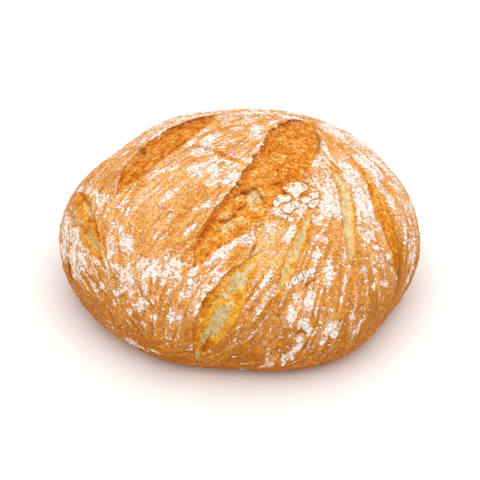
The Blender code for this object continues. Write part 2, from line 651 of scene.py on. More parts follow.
@dataclass
class Grain:
    """Stretch marks: noise smeared along the direction in which the dough was pulled.

    The direction at a place is the mean of the stretches near it, weighted by a bell curve of their
    distance. Doubled angles are averaged, because a pull has no front and back.

    reach: the bell curve's width. extent, pitch: half the raster's side and its step. stride: the
    step of the smear. All in mm. smear: steps on each side. contrast: the marks' deviation.
    """

    stretches: tuple[Stretch, ...]
    reach: float = 26.0
    extent: float = 216.0
    pitch: float = 0.8
    stride: float = 1.1
    smear: int = 8
    contrast: float = 0.22
    seed: int = 5

    def __post_init__(self) -> None:
        """Smears noise along the pull on a square raster over the map."""
        self.count = int(2 * self.extent / self.pitch) + 1
        side = np.linspace(-self.extent, self.extent, self.count)
        spots = np.stack(np.meshgrid(side, side, indexing="ij"), axis=-1).reshape(-1, 2)
        angle = self.angle(spots)
        drift = mapped(angle, 1 / self.pitch)
        raw = np.random.default_rng(self.seed).normal(size=(self.count, self.count))
        start = self.cell(spots)
        total = np.zeros(len(spots))
        for step in range(-self.smear, self.smear + 1):
            total += self.read(raw, start + drift * step * self.stride)
        total = total.reshape(self.count, self.count)
        total = (total + np.roll(total, 1, axis=0) + np.roll(total, 1, axis=1)) / 3
        self.raster = np.clip(0.5 + self.contrast * (total - total.mean()) / total.std(), 0, 1)

    def angle(self, spots: Array) -> Array:
        """The direction of the pull at each place, in radians.

        Args:
            spots: (n, 2) places on the map, in mm.

        Returns:
            Angles from east.
        """
        cosine, sine = np.full(len(spots), 1e-9), np.zeros(len(spots))
        for stretch in self.stretches:
            away = polar(spots - (stretch.east, stretch.north))[1]
            weight = bell(away / self.reach) + 1e-4 / (1 + away) ** 2
            cosine += weight * math.cos(2 * math.radians(stretch.angle))
            sine += weight * math.sin(2 * math.radians(stretch.angle))
        return np.arctan2(sine, cosine) / 2

    def read(self, raster: Array, place: Array) -> Array:
        """The raster at fractional rows and columns, weighted from the four around each place.

        Args:
            raster: The raster.
            place: (n, 2) fractional rows and columns.

        Returns:
            (n,) values.
        """
        place = np.clip(place, 0, self.count - 1.001)
        corner = place.astype(int)
        share = place - corner
        row, column = corner.T
        above = raster[row, column] * (1 - share[:, 0]) + raster[row + 1, column] * share[:, 0]
        below = raster[row, column + 1] * (1 - share[:, 0]) + raster[row + 1, column + 1] * share[:, 0]
        return above * (1 - share[:, 1]) + below * share[:, 1]

    def cell(self, spots: Array) -> Array:
        """The fractional row and column of each place."""
        return spots / self.pitch + (self.count - 1) / 2

    def at(self, spots: Array) -> Array:
        """The stretch marks at each place, about 0.5."""
        return self.read(self.raster, self.cell(spots))


# ---- this loaf's features


def patches(*rows: tuple[float, ...], weight: float = 1.0) -> tuple[Patch, ...]:
    """Patches from rows of east, north, length, width, angle and, where it isn't the shared one, the
    weight.

    Args:
        rows: The rows.
        weight: The weight of each patch whose row has none.

    Returns:
        The patches.
    """
    return tuple(Patch(*row) if len(row) > 5 else Patch(*row, weight) for row in rows)


def cracks(*rows: tuple[Stops | float, ...]) -> tuple[Crack, ...]:
    """Cracks from rows of stops, how many samples to take of them, depth, golden, dark and bake."""
    return tuple(Crack(Course(stops, count), *rest) for stops, count, *rest in rows)


SLASHES = (
    Slash(
        name="crown_slash",
        course=Course((
            (49, 69, 0.6), (47, 63, 9), (43, 52, 14.5), (37, 30, 19.5), (30, 5, 20), (19, -19, 19),
            (6, -42, 16.5), (-9, -63, 14.5), (-23.5, -77.5, 8.6), (-29, -88, 5.5), (-34, -95, 0.6),
        )),
        inside=Inside.BLOOM, depth=2.8, lip=1.7, far_lip=1.2, floor_at=-0.9, bulge=1.6,
        ears=(Ear(reach=10, overhang=1.6, height=1, thickness=0.9, start=0.02, end=0.66),),
        pools=patches(
            (8, -41, 18, 13, 80, 0.75), (-9, -66, 18, 8, 20, 0.65), (7, -54, 16, 7, 60, 0.55),
            (-14, -53, 11, 6, 45, 0.5),
        ),
        gold=patches((-31, -86, 22, 9, 55, 0.8), (44, 12, 26, 12, 80, 0.35)),
        tears=cracks(
            (((-6, -38, 0.8), (-1, -35, 1.8), (4, -35, 2), (10, -30, 1)), 60, 1.4, 0, 0.6, 0.3),
            (((10, -33, 0.9), (13, -40, 1.4), (15, -44, 1.2), (15, -48, 0.7)), 60, 0.8, 0, 0.4, 0.3),
            (
                ((-19, -60, 0.8), (-13, -61.5, 1.5), (-7, -58, 1.6), (-3, -52, 1.4), (1, -48, 0.8)), 60, 1.3,
                0, 0.45, 0.25,
            ),
            (((21, -27, 0.6), (24, -26, 0.9), (27, -24, 0.6)), 30, 0.8, 0, 0.7),
            # a broad valley under the ear, browner: partly baked colour, partly painted shade under the lip
            (((-11, -37, 1.5), (-20, -52, 3.2), (-26, -65, 3.6), (-31, -80, 2)), 80, 2, 0, 0, 0.28),
        ),
        lumps=patches(
            (-13.5, -56, 15, 6, 42, 1.3), (8, -43, 15, 10, 60, 0.8), (24, -24, 6, 2.4, 20, 0.9),
            (-12, -68, 16, 6, 48, 0.8), (16, -26, 14, 10, 60, 0.5), (-28, -80, 10, 6, 60, 0.7),
            (34, 36, 22, 12, 60, -0.6), (6, -29, 18, 9, 25, -1.2), (36, 50, 14, 10, 40, -0.8),
            (22, 2, 12, 8, 60, -0.4),
        ),
    ),
    Slash(
        name="shoulder_slash",
        course=Course((
            (-21, 74, 0.6), (-29, 64, 7), (-38, 53, 11), (-49, 42, 13.5), (-61, 28, 14), (-74, 8, 12),
            (-83, -7, 8), (-91, -21, 0.8),
        )),
        inside=Inside.BLOOM, depth=2.2, lip=1.3, far_lip=0.3, floor_at=-0.9, bulge=1.2, step=0.3, bake=0.14,
        fade=1.6, ears=(Ear(reach=7, overhang=0.8, height=0.8, thickness=0.9, start=0.05, end=0.45),),
        tears=cracks(
            (((-41, 31, 0.7), (-47, 25, 1.2), (-54, 16, 0.7)), 60, 0.7, 0, 0.5, 0.2),
            (((-77, 34, 1.2), (-75, 29, 2.2), (-73, 24, 1.2)), 60, 1, 0, 0.6, 0.3),
            (((-68, 12, 0.8), (-70, 4, 1.6), (-76, -2, 0.8)), 60, 0.6, 0, 0.3, 0.2),
        ),
        lumps=patches(
            (-66, 20, 26, 12, 55, 0.7), (-53, 46, 26, 12, 48, 0.6), (-84, -5, 18, 8, 60, 1),
            (-72, 1, 22, 9, 30, 0.8),
        ),
    ),
    Slash(
        name="front_slash",
        course=Course((
            (12, -87, 0.6), (6, -95, 4.5), (-2, -106, 9), (-11, -118, 13), (-19, -130, 15), (-27, -141, 13),
            (-35, -152, 9), (-42, -163, 5), (-49, -175, 0.8),
        )),
        inside=Inside.CRUMB, depth=6, lip=2.4, far_lip=0.8, floor_at=0.05, bulge=0.4, step=0.3, bake=0.1,
        ears=(Ear(reach=8, overhang=0.6, height=0.7, thickness=0.8, start=0.3, end=0.7),),
        pools=patches(
            (4.5, -98, 11, 7, 50), (-3.5, -107.5, 21, 11, 48), (-13, -116, 11, 5.5, 45, 0.8),
            (-18.5, -134.5, 33, 13, 51), (-33, -148, 26, 4.2, 52), (-45, -166, 18, 4.2, 72, 0.8),
        ),
        gold=patches(
            (-25, -129, 34, 6, 56, 0.9), (-15, -121.8, 18, 4.5, 18, 0.9), (-4, -128, 40, 10, 54, 0.9),
            (12, -99, 24, 8, 56, 0.9), (-18, -147, 26, 8, 38, 0.9),
        ),
        tears=cracks(
            (((3, -103, 0.8), (5, -101, 1.3), (9, -98, 0.8)), 30, -0.4, 0.7, 0),
            (((-23, -122, 0.6), (-18, -121, 1), (-12, -123, 1.1), (-8, -121, 0.9)), 50, -0.5, 0, 0, -1),
            (((-15, -112, 0.6), (-13, -117, 1), (-8, -121, 1), (-7, -127, 0.6)), 50, -0.5, 0, 0, -1),
            (((-16, -114, 0.8), (-13, -113, 1.2), (-8, -114, 0.8)), 30, -0.4, 0.8, 0),
            (((-27, -147, 0.5), (-31, -151, 0.9), (-35, -157, 0.9), (-38, -162, 0.5)), 40, 0.9, 0, 0.5),
        ),
    ),
    Slash(
        name="second_slash",
        course=Course((
            (47, -46, 0.6), (45, -60, 3), (40.5, -76, 4.8), (35, -91, 5), (29.5, -106, 3.6),
            (25, -121, 0.6),
        )),
        inside=Inside.CRUMB, depth=2.6, lip=0.5, far_lip=0.7, floor_at=0, step=0.2, bake=0.12,
        pools=patches(
            (44.5, -62, 20, 4.5, 75, 0.75), (40, -76, 18, 7.5, 66, 0.9), (35.5, -88, 18, 8.5, 60),
            (30.5, -101, 18, 6.5, 72, 0.9), (27, -111, 8, 3.5, 66, 0.7),
        ),
        gold=patches((42, -88, 26, 3.5, 74, 0.8), (28, -98, 34, 2.5, 70, 0.6)),
        tears=cracks(
            (((38, -80, 0.8), (41, -82, 1.2), (44, -80, 0.8)), 30, -0.4, 0.6, 0),
            (((33, -92, 0.8), (36, -93, 1.2), (39, -92, 0.8)), 30, -0.4, 0.6, 0),
            (((27, -104, 0.8), (30, -105, 1.2), (33, -104, 0.8)), 30, -0.4, 0.6, 0),
        ),
    ),
    Slash(
        name="third_slash",
        course=Course((
            (59, 6, 0.6), (67, -5, 1.4), (72, -16, 2.8), (75, -30, 4.2), (76, -45, 4.8), (76.5, -60, 4.4),
            (78, -74, 3.4), (77, -87, 0.6),
        )),
        inside=Inside.CRUMB, depth=1.8, lip=0.5, far_lip=0.7, floor_at=0, step=0.2, fade=1.3,
        pool_share=0.9, gold=patches((72.5, -8, 34, 2.6, 125), (80, -45, 70, 3.2, 91)),
    ),
    Slash(
        name="side_slash",
        course=Course((
            (85, 14, 0.6), (90, 6, 2), (95, -4, 3), (98, -15, 5.4), (103, -28, 7.4), (109, -41, 8),
            (115, -53, 7), (121, -64, 5.2), (128, -76, 3.6), (137, -90, 0.6),
        )),
        inside=Inside.SKIN, depth=3.2, lip=1.4, far_lip=1.2, floor_at=-0.5, bulge=0.9, step=0.4, bake=0.26,
    ),
    Slash(
        name="west_slash",
        course=Course((
            (-127, 5, 0.6), (-125, -6, 3.6), (-120, -18, 4.3), (-116, -31, 3.8), (-111, -44, 2.8),
            (-106, -57, 0.6),
        )),
        inside=Inside.SKIN, depth=3, lip=1.6, far_lip=0.9, floor_at=0.6, step=0.3, bake=0.24,
        pools=patches((-118, -21, 30, 3.5, 110, 0.65)), gold=patches((-122, -16, 40, 5, 108, 0.6)),
        tears=cracks(
            (((-120, -4, 0.6), (-114.5, -18, 1.2), (-111, -34, 1.4), (-107, -52, 0.8)), 240, 1, 0, 0.5, 0.35)
        ),
    ),
    Slash(
        name="low_west_slash",
        course=Course((
            (-121, -38, 0.6), (-118, -46, 2.8), (-114, -56, 3.4), (-109, -66, 2.4), (-104, -79, 0.6),
        )),
        inside=Inside.SKIN, depth=2.8, lip=1.4, far_lip=0.9, floor_at=0.4, step=0.3, bake=0.14,
        pools=patches((-113, -54, 26, 6.5, 114, 0.75)), gold=patches((-117.5, -51, 28, 2.6, 114, 0.8)),
    ),
    Slash(
        name="cross_crack",
        course=Course(((-25, 14, 0.4), (-16, 8.5, 1.3), (-7.5, 1, 1.9), (-1, -4.8, 2), (4, -9, 1))),
        inside=Inside.SKIN, depth=1.5, far_lip=0.9, floor_at=-0.1, step=0.3, bake=0.25,
    ),
)

CRACKS = cracks(
    (((-36, 21, 0.7), (-29, 18, 0.9), (-23, 16, 0.7)), 40, 0.7, 0.2, 0.7),
    (((-134, -3, 0.6), (-131, -16, 1.3), (-127, -34, 0.8)), 60, 0.8, 0.2, 0.5, 0.2),
    (((56, 50, 0.5), (57.5, 38, 0.9), (57, 24, 0.9), (54.5, 9, 0.5)), 60, 0.7, 0, 0.7, 0.4),
    (((105, 3, 0.8), (110, 1, 3), (115, -3, 3.2), (119, -8, 0.8)), 40, 1.4, 1, 0.1, 0.1),
    (((-117, -69, 0.8), (-114, -75, 1.9), (-111, -83, 0.8)), 40, 1.2, 1, 0.1),
    (((-143, -52, 1), (-147, -58, 2.6), (-152, -62, 1.6)), 40, 2, 0, 1.4),
    (((60, -4, 0.6), (64, -9, 0.9), (67, -19, 0.9), (69, -28, 0.6)), 60, 0.7, 0.9, 0.2),
    (((60, 16, 0.6), (64, 9, 1), (68, 3, 1.1), (73, -3, 0.7)), 60, 0.7, 1, 0.1),
    (((41, -24, 0.8), (46, -25, 1), (53, -31, 1.2), (55, -38, 0.8)), 60, 0.8, 0.9, 0.2),
    (((25, -50, 0.9), (32, -44, 1.3), (40, -38, 1.3), (52, -32, 0.8)), 60, 1, 1, 0.3),
    (((44, -110, 0.4), (47, -107, 0.8), (51, -104, 0.4)), 40, 0.8, 0.1, 0.9),
    (((43, -143, 0.4), (47, -140, 0.8), (50, -141, 0.5)), 40, 0.9, 0.1, 1),
    (((9, -82, 0.8), (7, -86, 1.2), (5, -90, 0.6)), 40, 0.9, 0.3, 0.8),
    (((-12, -147, 0.5), (2, -149, 0.8), (14, -138, 0.8), (22, -129, 0.5)), 60, 0.6, 0.3, 0.2),
    (((-2, -143, 0.5), (7, -139, 0.7), (16, -131, 0.5)), 60, 0.5, 0.3, 0.2),
    (((104, -67, 0.6), (108, -72, 1), (114, -73, 1), (118, -70, 0.6)), 40, 0.7, 0.4, 0.5),
    (((80, -113, 0.6), (85, -118, 0.9), (88, -117, 0.9), (92, -112, 0.6)), 40, 0.7, 0.4, 0.6),
    (((-79, -96, 0.5), (-74, -108, 0.8), (-68, -118, 0.5)), 40, 0.6, 0.4, 0.5),
    (((106, -20, 0.6), (111, -32, 1), (119, -48, 1.2), (128, -66, 0.7)), 80, 0.9, 0.6, 0.3),
    (((118, -12, 0.6), (126, -30, 1), (130, -50, 1), (134, -70, 0.6)), 80, 0.8, 0.5, 0.4),
    (((126, -62, 0.6), (130, -76, 1.2), (134, -86, 0.7)), 40, 1.3, 0.2, 0.9),
)
# Pits: small dents, which the coat darkens with painted shade, with some burning.
PITS = patches(
    (-76, 31, 7, 4, 50, 0.8), (-78, -5, 6, 5, 0, 0.5), (-83, -13, 5, 4, 0, 0.45),
    (-68, 12, 10, 6, 40, 0.35), (-72, 20, 16, 8, 50, 0.3), (-114, -93, 3, 3, 0, 1),
    (22, -127, 2.6, 2.6, 0, 0.9), (56, -153, 3, 4, 90, 1), (46, -77, 3, 3, 0, 0.7),
    (-58, -56, 5, 3, 120, 0.5), (-106, -36, 6, 3, 150, 0.4),
)
GLOWS = patches(
    (20, -74, 26, 16, 60, 0.55), (12, -88, 28, 16, 50, 0.45), (-48, -20, 70, 44, 40, 0.15),
    (24, -92, 22, 12, 60, 0.35), (0, -62, 12, 6, 40, 0.3), (68, -66, 20, 12, 100, 0.2),
)
SWELLINGS = (
    (96, -104, 34, 2.5), (-62, -122, 34, 2), (142, -40, 26, 3), (-136, -48, 24, 1.8), (-8, 24, 30, 2),
    (-52, -48, 38, 2), (58, -28, 24, 1.8), (88, 62, 36, 2.2), (-60, 96, 34, 2.2), (20, 118, 38, 2.4),
)

STRETCHES = tuple(
    Stretch(*row)
    for row in (
        (-100, 50, 30), (-70, 75, 25), (-30, 95, 12), (20, 100, 0), (60, 80, 150), (-60, 20, 38),
        (-30, 40, 40), (-25, 5, 42), (-85, 5, 48), (-105, 5, 60), (0, 45, 35), (-45, -20, 36),
        (-5, -12, 58), (-20, -45, 60), (-60, -50, 55), (20, 10, 66), (-95, -30, 62), (52, 30, 75),
        (66, 20, 125), (62, -20, 108), (60, -55, 55), (85, -20, 105), (88, -60, 110), (85, 30, 140),
        (110, 10, 128), (108, -30, 112), (125, -60, 115), (140, -30, 100), (45, -90, 72), (20, -105, 62),
        (15, -70, 45), (8, -140, 45), (-5, -150, 20), (30, -135, 62), (50, -130, 90), (45, -160, 75),
        (75, -120, 96), (75, -150, 100), (105, -110, 125), (110, -145, 130), (-30, -100, 40),
        (-45, -125, 62), (-20, -130, 58), (-70, -100, 110), (-75, -130, 60), (-55, -90, 25), (-90, -80, 92),
        (-115, -60, 112), (-130, -30, 105), (-135, -60, 100), (-110, -100, 118), (-100, -140, 135),
        (-60, -160, 165), (0, -178, 0), (60, -175, 15), (0, 150, 0), (110, 100, 140), (-110, 100, 40),
        (160, 30, 95), (-160, 30, 85),
    )
)

SOLID_FLOUR = patches(
    (-37.5, 27, 15, 9, 60), (-25, 26, 24, 10, 75), (-31, 11, 12, 10, 0), (-6, 4.6, 24, 2, -41),
    (2, -2, 6, 7, 60), (10.5, 47, 19, 10, 80), (-8, -22, 12, 9, 60), (-20, -12, 22, 11, 110),
    (-11, -27, 11, 7, 90), (-33, -11, 18, 11, 110), (-125, -40, 14, 5, 112), (-84, -68, 14, 11, 100),
    (-83, -74, 14, 6, 166), (-135, -57, 13, 11, 0), (-126, -47, 11, 6, 110), (-86, -93, 19, 11, 130),
    (-62, -97, 28, 4, 0), (-72, -88, 9, 8, 0), (-65, -95, 19, 8, 0), (-49, -92.5, 16, 11, 0),
    (-75, -114, 18, 11, 4), (-25, -113, 12, 5, 42), (-20, -99, 22, 2, 33), (-115, -141, 24, 12, 155),
    (-2, -140, 11, 2, 40), (6, -147, 13, 1.8, 35), (12, -140, 22, 1.6, 50), (41, -103, 19, 6, 38),
    (49, -119, 13, 7, 90), (74, -101, 7, 4, 90), (98, -96, 8, 5, 40), (48, -135, 13, 7, 160),
    (55, -140, 9, 6, 130), (72, -134, 16, 9, 15), (77, -139, 9, 6, 0), (49, -156, 13, 9, 50),
    (70, 59, 34, 18, 110), (53.5, 1, 11, 9, 60), (61, 0, 30, 9, 108), (76, -8, 20, 7, 122),
    (92, 20, 22, 13, 120), (100, 14, 24, 14, 125), (82.8, -41, 36, 5, 96), (88, -31, 26, 16, 110),
    (88, -38, 18, 6, 15), (110, -68, 13, 6, 50), (61, -46, 22, 14, 30), (67, -33, 40, 5, 98),
    (42, -48, 22, 10, 53), (54, -55, 11, 7, 60), (34, -73, 17, 7, 72),
    weight=0.95,
)
DENSE_FLOUR = patches(
    (-23, 14, 20, 9, 83), (-29, 42, 22, 8, 50), (-9.5, -2.8, 22, 1.8, -42), (9.5, 10, 20, 3, 72),
    (10, 31.5, 14, 11, 20), (23, 56, 16, 6, 58), (-4, 46, 11, 11, 0), (-66, 48, 14, 7, 40),
    (-20, 1, 16, 8, 118), (10, 29, 15, 13, 6), (-43, 70, 30, 9, 30), (6, 79, 34, 10, 0),
    (-21, -26, 15, 11, 60), (-25, -4, 20, 9, 20), (-53, -6, 18, 7, 25), (-64, -9, 16, 7, 30),
    (-51, -35, 16, 11, 50), (-24, -48, 14, 5, 48), (-39, -70, 6, 4, 60), (-112, -10, 32, 7, 118),
    (-127, 7, 18, 7, 112), (-107, -74, 24, 9, 127), (-152, -39, 36, 12, 125), (-124, -50, 36, 4, 112),
    (-114, -72, 18, 9, 60), (-89, 34, 12, 6, 60), (-78, 46, 14, 7, 60), (-98, 39, 14, 5, 60),
    (-82, -44, 10, 5, 70), (-88, -56, 9, 4, 80), (-117, -4, 12, 6, 120), (-127, -69, 18, 8, 170),
    (-124, -64, 12, 7, 105), (-131, -16, 20, 3, 112), (-122, -87, 14, 7, 110), (-93, -83, 16, 5, 140),
    (-91, -100, 15, 7, 10), (-47, -99, 10, 8, 0), (-52, -83, 9, 4.5, 45), (-73, -107, 19, 6, 95),
    (-41, -114, 13, 7, 10), (-34, -98, 14, 7, 50), (-17, -86, 34, 8, 36), (-12, -103, 12, 6, 61),
    (-17, -103, 14, 8, 20), (2, -77, 14, 5, 30), (-34, -125, 16, 3, 62), (-69, -125, 9, 5, 0),
    (-81, -129, 7, 7, 0), (-88, -153, 13, 4, 152), (18, -133, 22, 1.5, 56), (22, -141, 18, 1.5, 60),
    (37, -129, 12, 6, 110), (54, -73, 9, 7, 0), (61, -99, 15, 9, 100), (88, -88, 10, 4, 50),
    (109, -90, 11, 4, 10), (68, -147, 11, 6, 40), (47, -146, 9, 6, 90), (45, -163, 13, 9, 50),
    (39, -168, 14, 6, 110), (24, -172, 15, 3, 100), (55, -127, 15, 3, 95), (59, -126, 14, 1.8, 95),
    (97, -124, 11, 5, 80), (63, 12, 24, 10, 110), (77, 3, 26, 13, 5), (105, 31, 26, 16, 125),
    (110, -14, 26, 9, 120), (128, -41, 20, 11, 120), (71, 2, 28, 11, 145), (93, -61, 22, 5, 61),
    (51, -58, 18, 9, 161), (92, 57, 24, 16, 139), (38, 71, 22, 14, 160), (84, -53, 16, 5, 95),
    (94, -58, 14, 5, 150), (101, -67, 10, 4, 0), (62, -31, 30, 14, 100), (86, -60, 16, 8, 120),
    (32, -45, 16, 9, 40), (31, -77, 8, 5, 60),
    weight=0.78,
)
SPECKLED_FLOUR = patches(
    (-21, 34, 12, 5, 20), (-11, 63, 18, 9, 55), (1, 62, 10, 6, 50), (5, 60, 14, 11, 50),
    (-50, 63, 22, 6, 30), (-19, 35, 28, 8, 90), (-98, -66, 24, 8, 100), (-86, -31, 13, 7, 55),
    (-100, -22, 12, 6, 60), (-92, -49, 12, 6, 100), (-108, -20, 24, 6, 115), (-138, -28, 36, 17, 115),
    (-137, -68, 14, 6, 110), (-111, -91, 10, 6, 0), (-128, -115, 9, 5, 140), (-83, -103, 9, 6, 10),
    (-52, -100, 18, 8, 31), (-103, -106, 8, 6, 0), (-36, -107, 9, 5, 45), (26, -53, 18, 9, 161),
    (-103, -147, 12, 3, 145), (18, -106, 16, 7, 62), (25, -114, 24, 9, 30), (52, -86, 14, 9, 90),
    (27, -171, 30, 14, 105), (71, -86, 8, 5, 90), (32, -164, 11, 4, 0), (14, -161, 6, 5, 0),
    (66, -122, 6, 4, 0), (61, 24, 22, 7, 100), (115, 26, 22, 14, 125), (134, -4, 30, 14, 67),
    (122, 12, 24, 12, 60), (99, -2, 30, 8, 120), (20, -71, 13, 8, 41), (4, -79, 15, 6, 24),
    (136, -56, 12, 5, 110), (46, -24, 12, 6, 60), (20, -67, 11, 6, 50), (146, -58, 40, 10, 115),
    weight=0.6,
)
FAINT_FLOUR = patches(
    (-13, 50, 20, 7, 60), (-8, -12, 20, 7, 42), (-62, -27, 9, 6, 50), (-22, 5, 12, 5, 45),
    (-134, -115, 36, 14, 135), (-104, 47, 14, 5, 60), (-90, -116, 16, 4, 0), (-57, -131, 26, 12, 55, 0.28),
    (-61, -141, 16, 8, 0), (11, -124, 20, 8, 60, 0.2), (7, -173, 12, 5, 80), (91, -114, 10, 4, 10),
    (100, -131, 9, 5, 40), (119, -77, 18, 4, 150), (107, -71, 20, 9, 20), (39, -33, 16, 12, 30),
    (138, -18, 24, 5, 110),
    weight=0.46,
)
FLOUR = SOLID_FLOUR + DENSE_FLOUR + SPECKLED_FLOUR + FAINT_FLOUR
VEILS = patches(
    (66, -30, 60, 12, 98, 0.5), (-20, 12, 100, 40, 40, 0.2), (-70, 56, 80, 22, 38, 0.28),
    (-105, 15, 50, 26, 50, 0.2), (0, 72, 140, 28, 0, 0.28), (60, -31, 52, 28, 100, 0.46),
    (83, -16, 72, 22, 105, 0.5), (122, -16, 90, 26, 115, 0.3), (92, 50, 76, 34, 135, 0.42),
    (-138, -40, 90, 30, 105, 0.46), (-108, -24, 70, 20, 112, 0.26), (-76, -98, 64, 30, 0, 0.28),
    (-56, -130, 50, 24, 60, 0.16), (-28, -100, 50, 18, 38, 0.3), (15, -117, 38, 12, 62, 0.18),
    (52, -125, 64, 40, 90, 0.25), (44, -156, 54, 34, 0, 0.26), (70, -92, 50, 26, 95, 0.2),
    (108, -78, 40, 20, 30, 0.24), (98, -127, 34, 20, 0, 0.2), (-54, -28, 50, 30, 40, 0.08),
)


# ---- the crust's surface


@dataclass
class Site:
    """Places on the crust with what the features need to know of them: the dome's points and
    normals in mm, where the foot is, and where each place lies beside every slash."""

    spots: Array
    base: Array
    up: Array
    inland: Array
    bands: dict[str, Band]


@dataclass
class Dusting:
    """Flour on the crust: thick patches, thin veils, and seeded patches behind and beside them.

    strays: how many seeded patches are thrown. reach: how far from the crown they lie at most, and
    behind: how far to the north they lie at least, in mm.
    """

    thick: tuple[Patch, ...]
    thin: tuple[Patch, ...]
    strays: int = 90
    reach: float = 205.0
    behind: float = 62.0
    seed: int = 21

    def __post_init__(self) -> None:
        """Throws the stray patches over the back, each along the rim or down the side."""
        rng = np.random.default_rng(self.seed)
        azimuth = rng.uniform(12, 168, self.strays)
        reading = self.reach * np.sqrt(rng.uniform(0.2, 0.92, self.strays))
        turned = np.where(rng.uniform(size=self.strays) < 0.5, 0, 90) + rng.normal(0, 18, self.strays)
        length, width = rng.uniform(8, 26, self.strays), rng.uniform(4, 10, self.strays)
        weight = rng.choice([0.6, 0.8, 1.0], self.strays)
        spots = mapped(np.radians(azimuth), reading)
        rows = np.column_stack([spots, length, width, azimuth + turned, weight])
        self.stray = tuple(Patch(*row) for row in rows if row[1] > self.behind)

    def at(self, site: Site, noise: Noise) -> Array:
        """How thick the flour lies, from 0 to 1. The patches' places are shifted by noise, so that
        they have ragged outlines, and a veil fills what they leave.

        Args:
            site: The places.
            noise: The noise that makes the outlines ragged.

        Returns:
            (n,) numbers.
        """
        place = flat(site.spots)
        shift = np.stack([noise.layers(place + apart, 11, 3) for apart in (211, 307)], axis=1)
        spots = site.spots + 2.2 * shift
        thick = cover_all(self.thick + self.stray, spots)
        thin = cover_all(self.thin, spots) * (1 + 0.5 * noise.layers(place + 97, 14, 2))
        behind = 0.4 * ease(60, 100, site.spots[:, 1]) * (1 + 0.7 * noise.layers(place + 43, 22, 3))
        thin = np.maximum(thin, behind) * (1 - 0.7 * ease(70, 20, site.inland))
        return np.clip(thick + thin * (1 - thick), 0, 1)


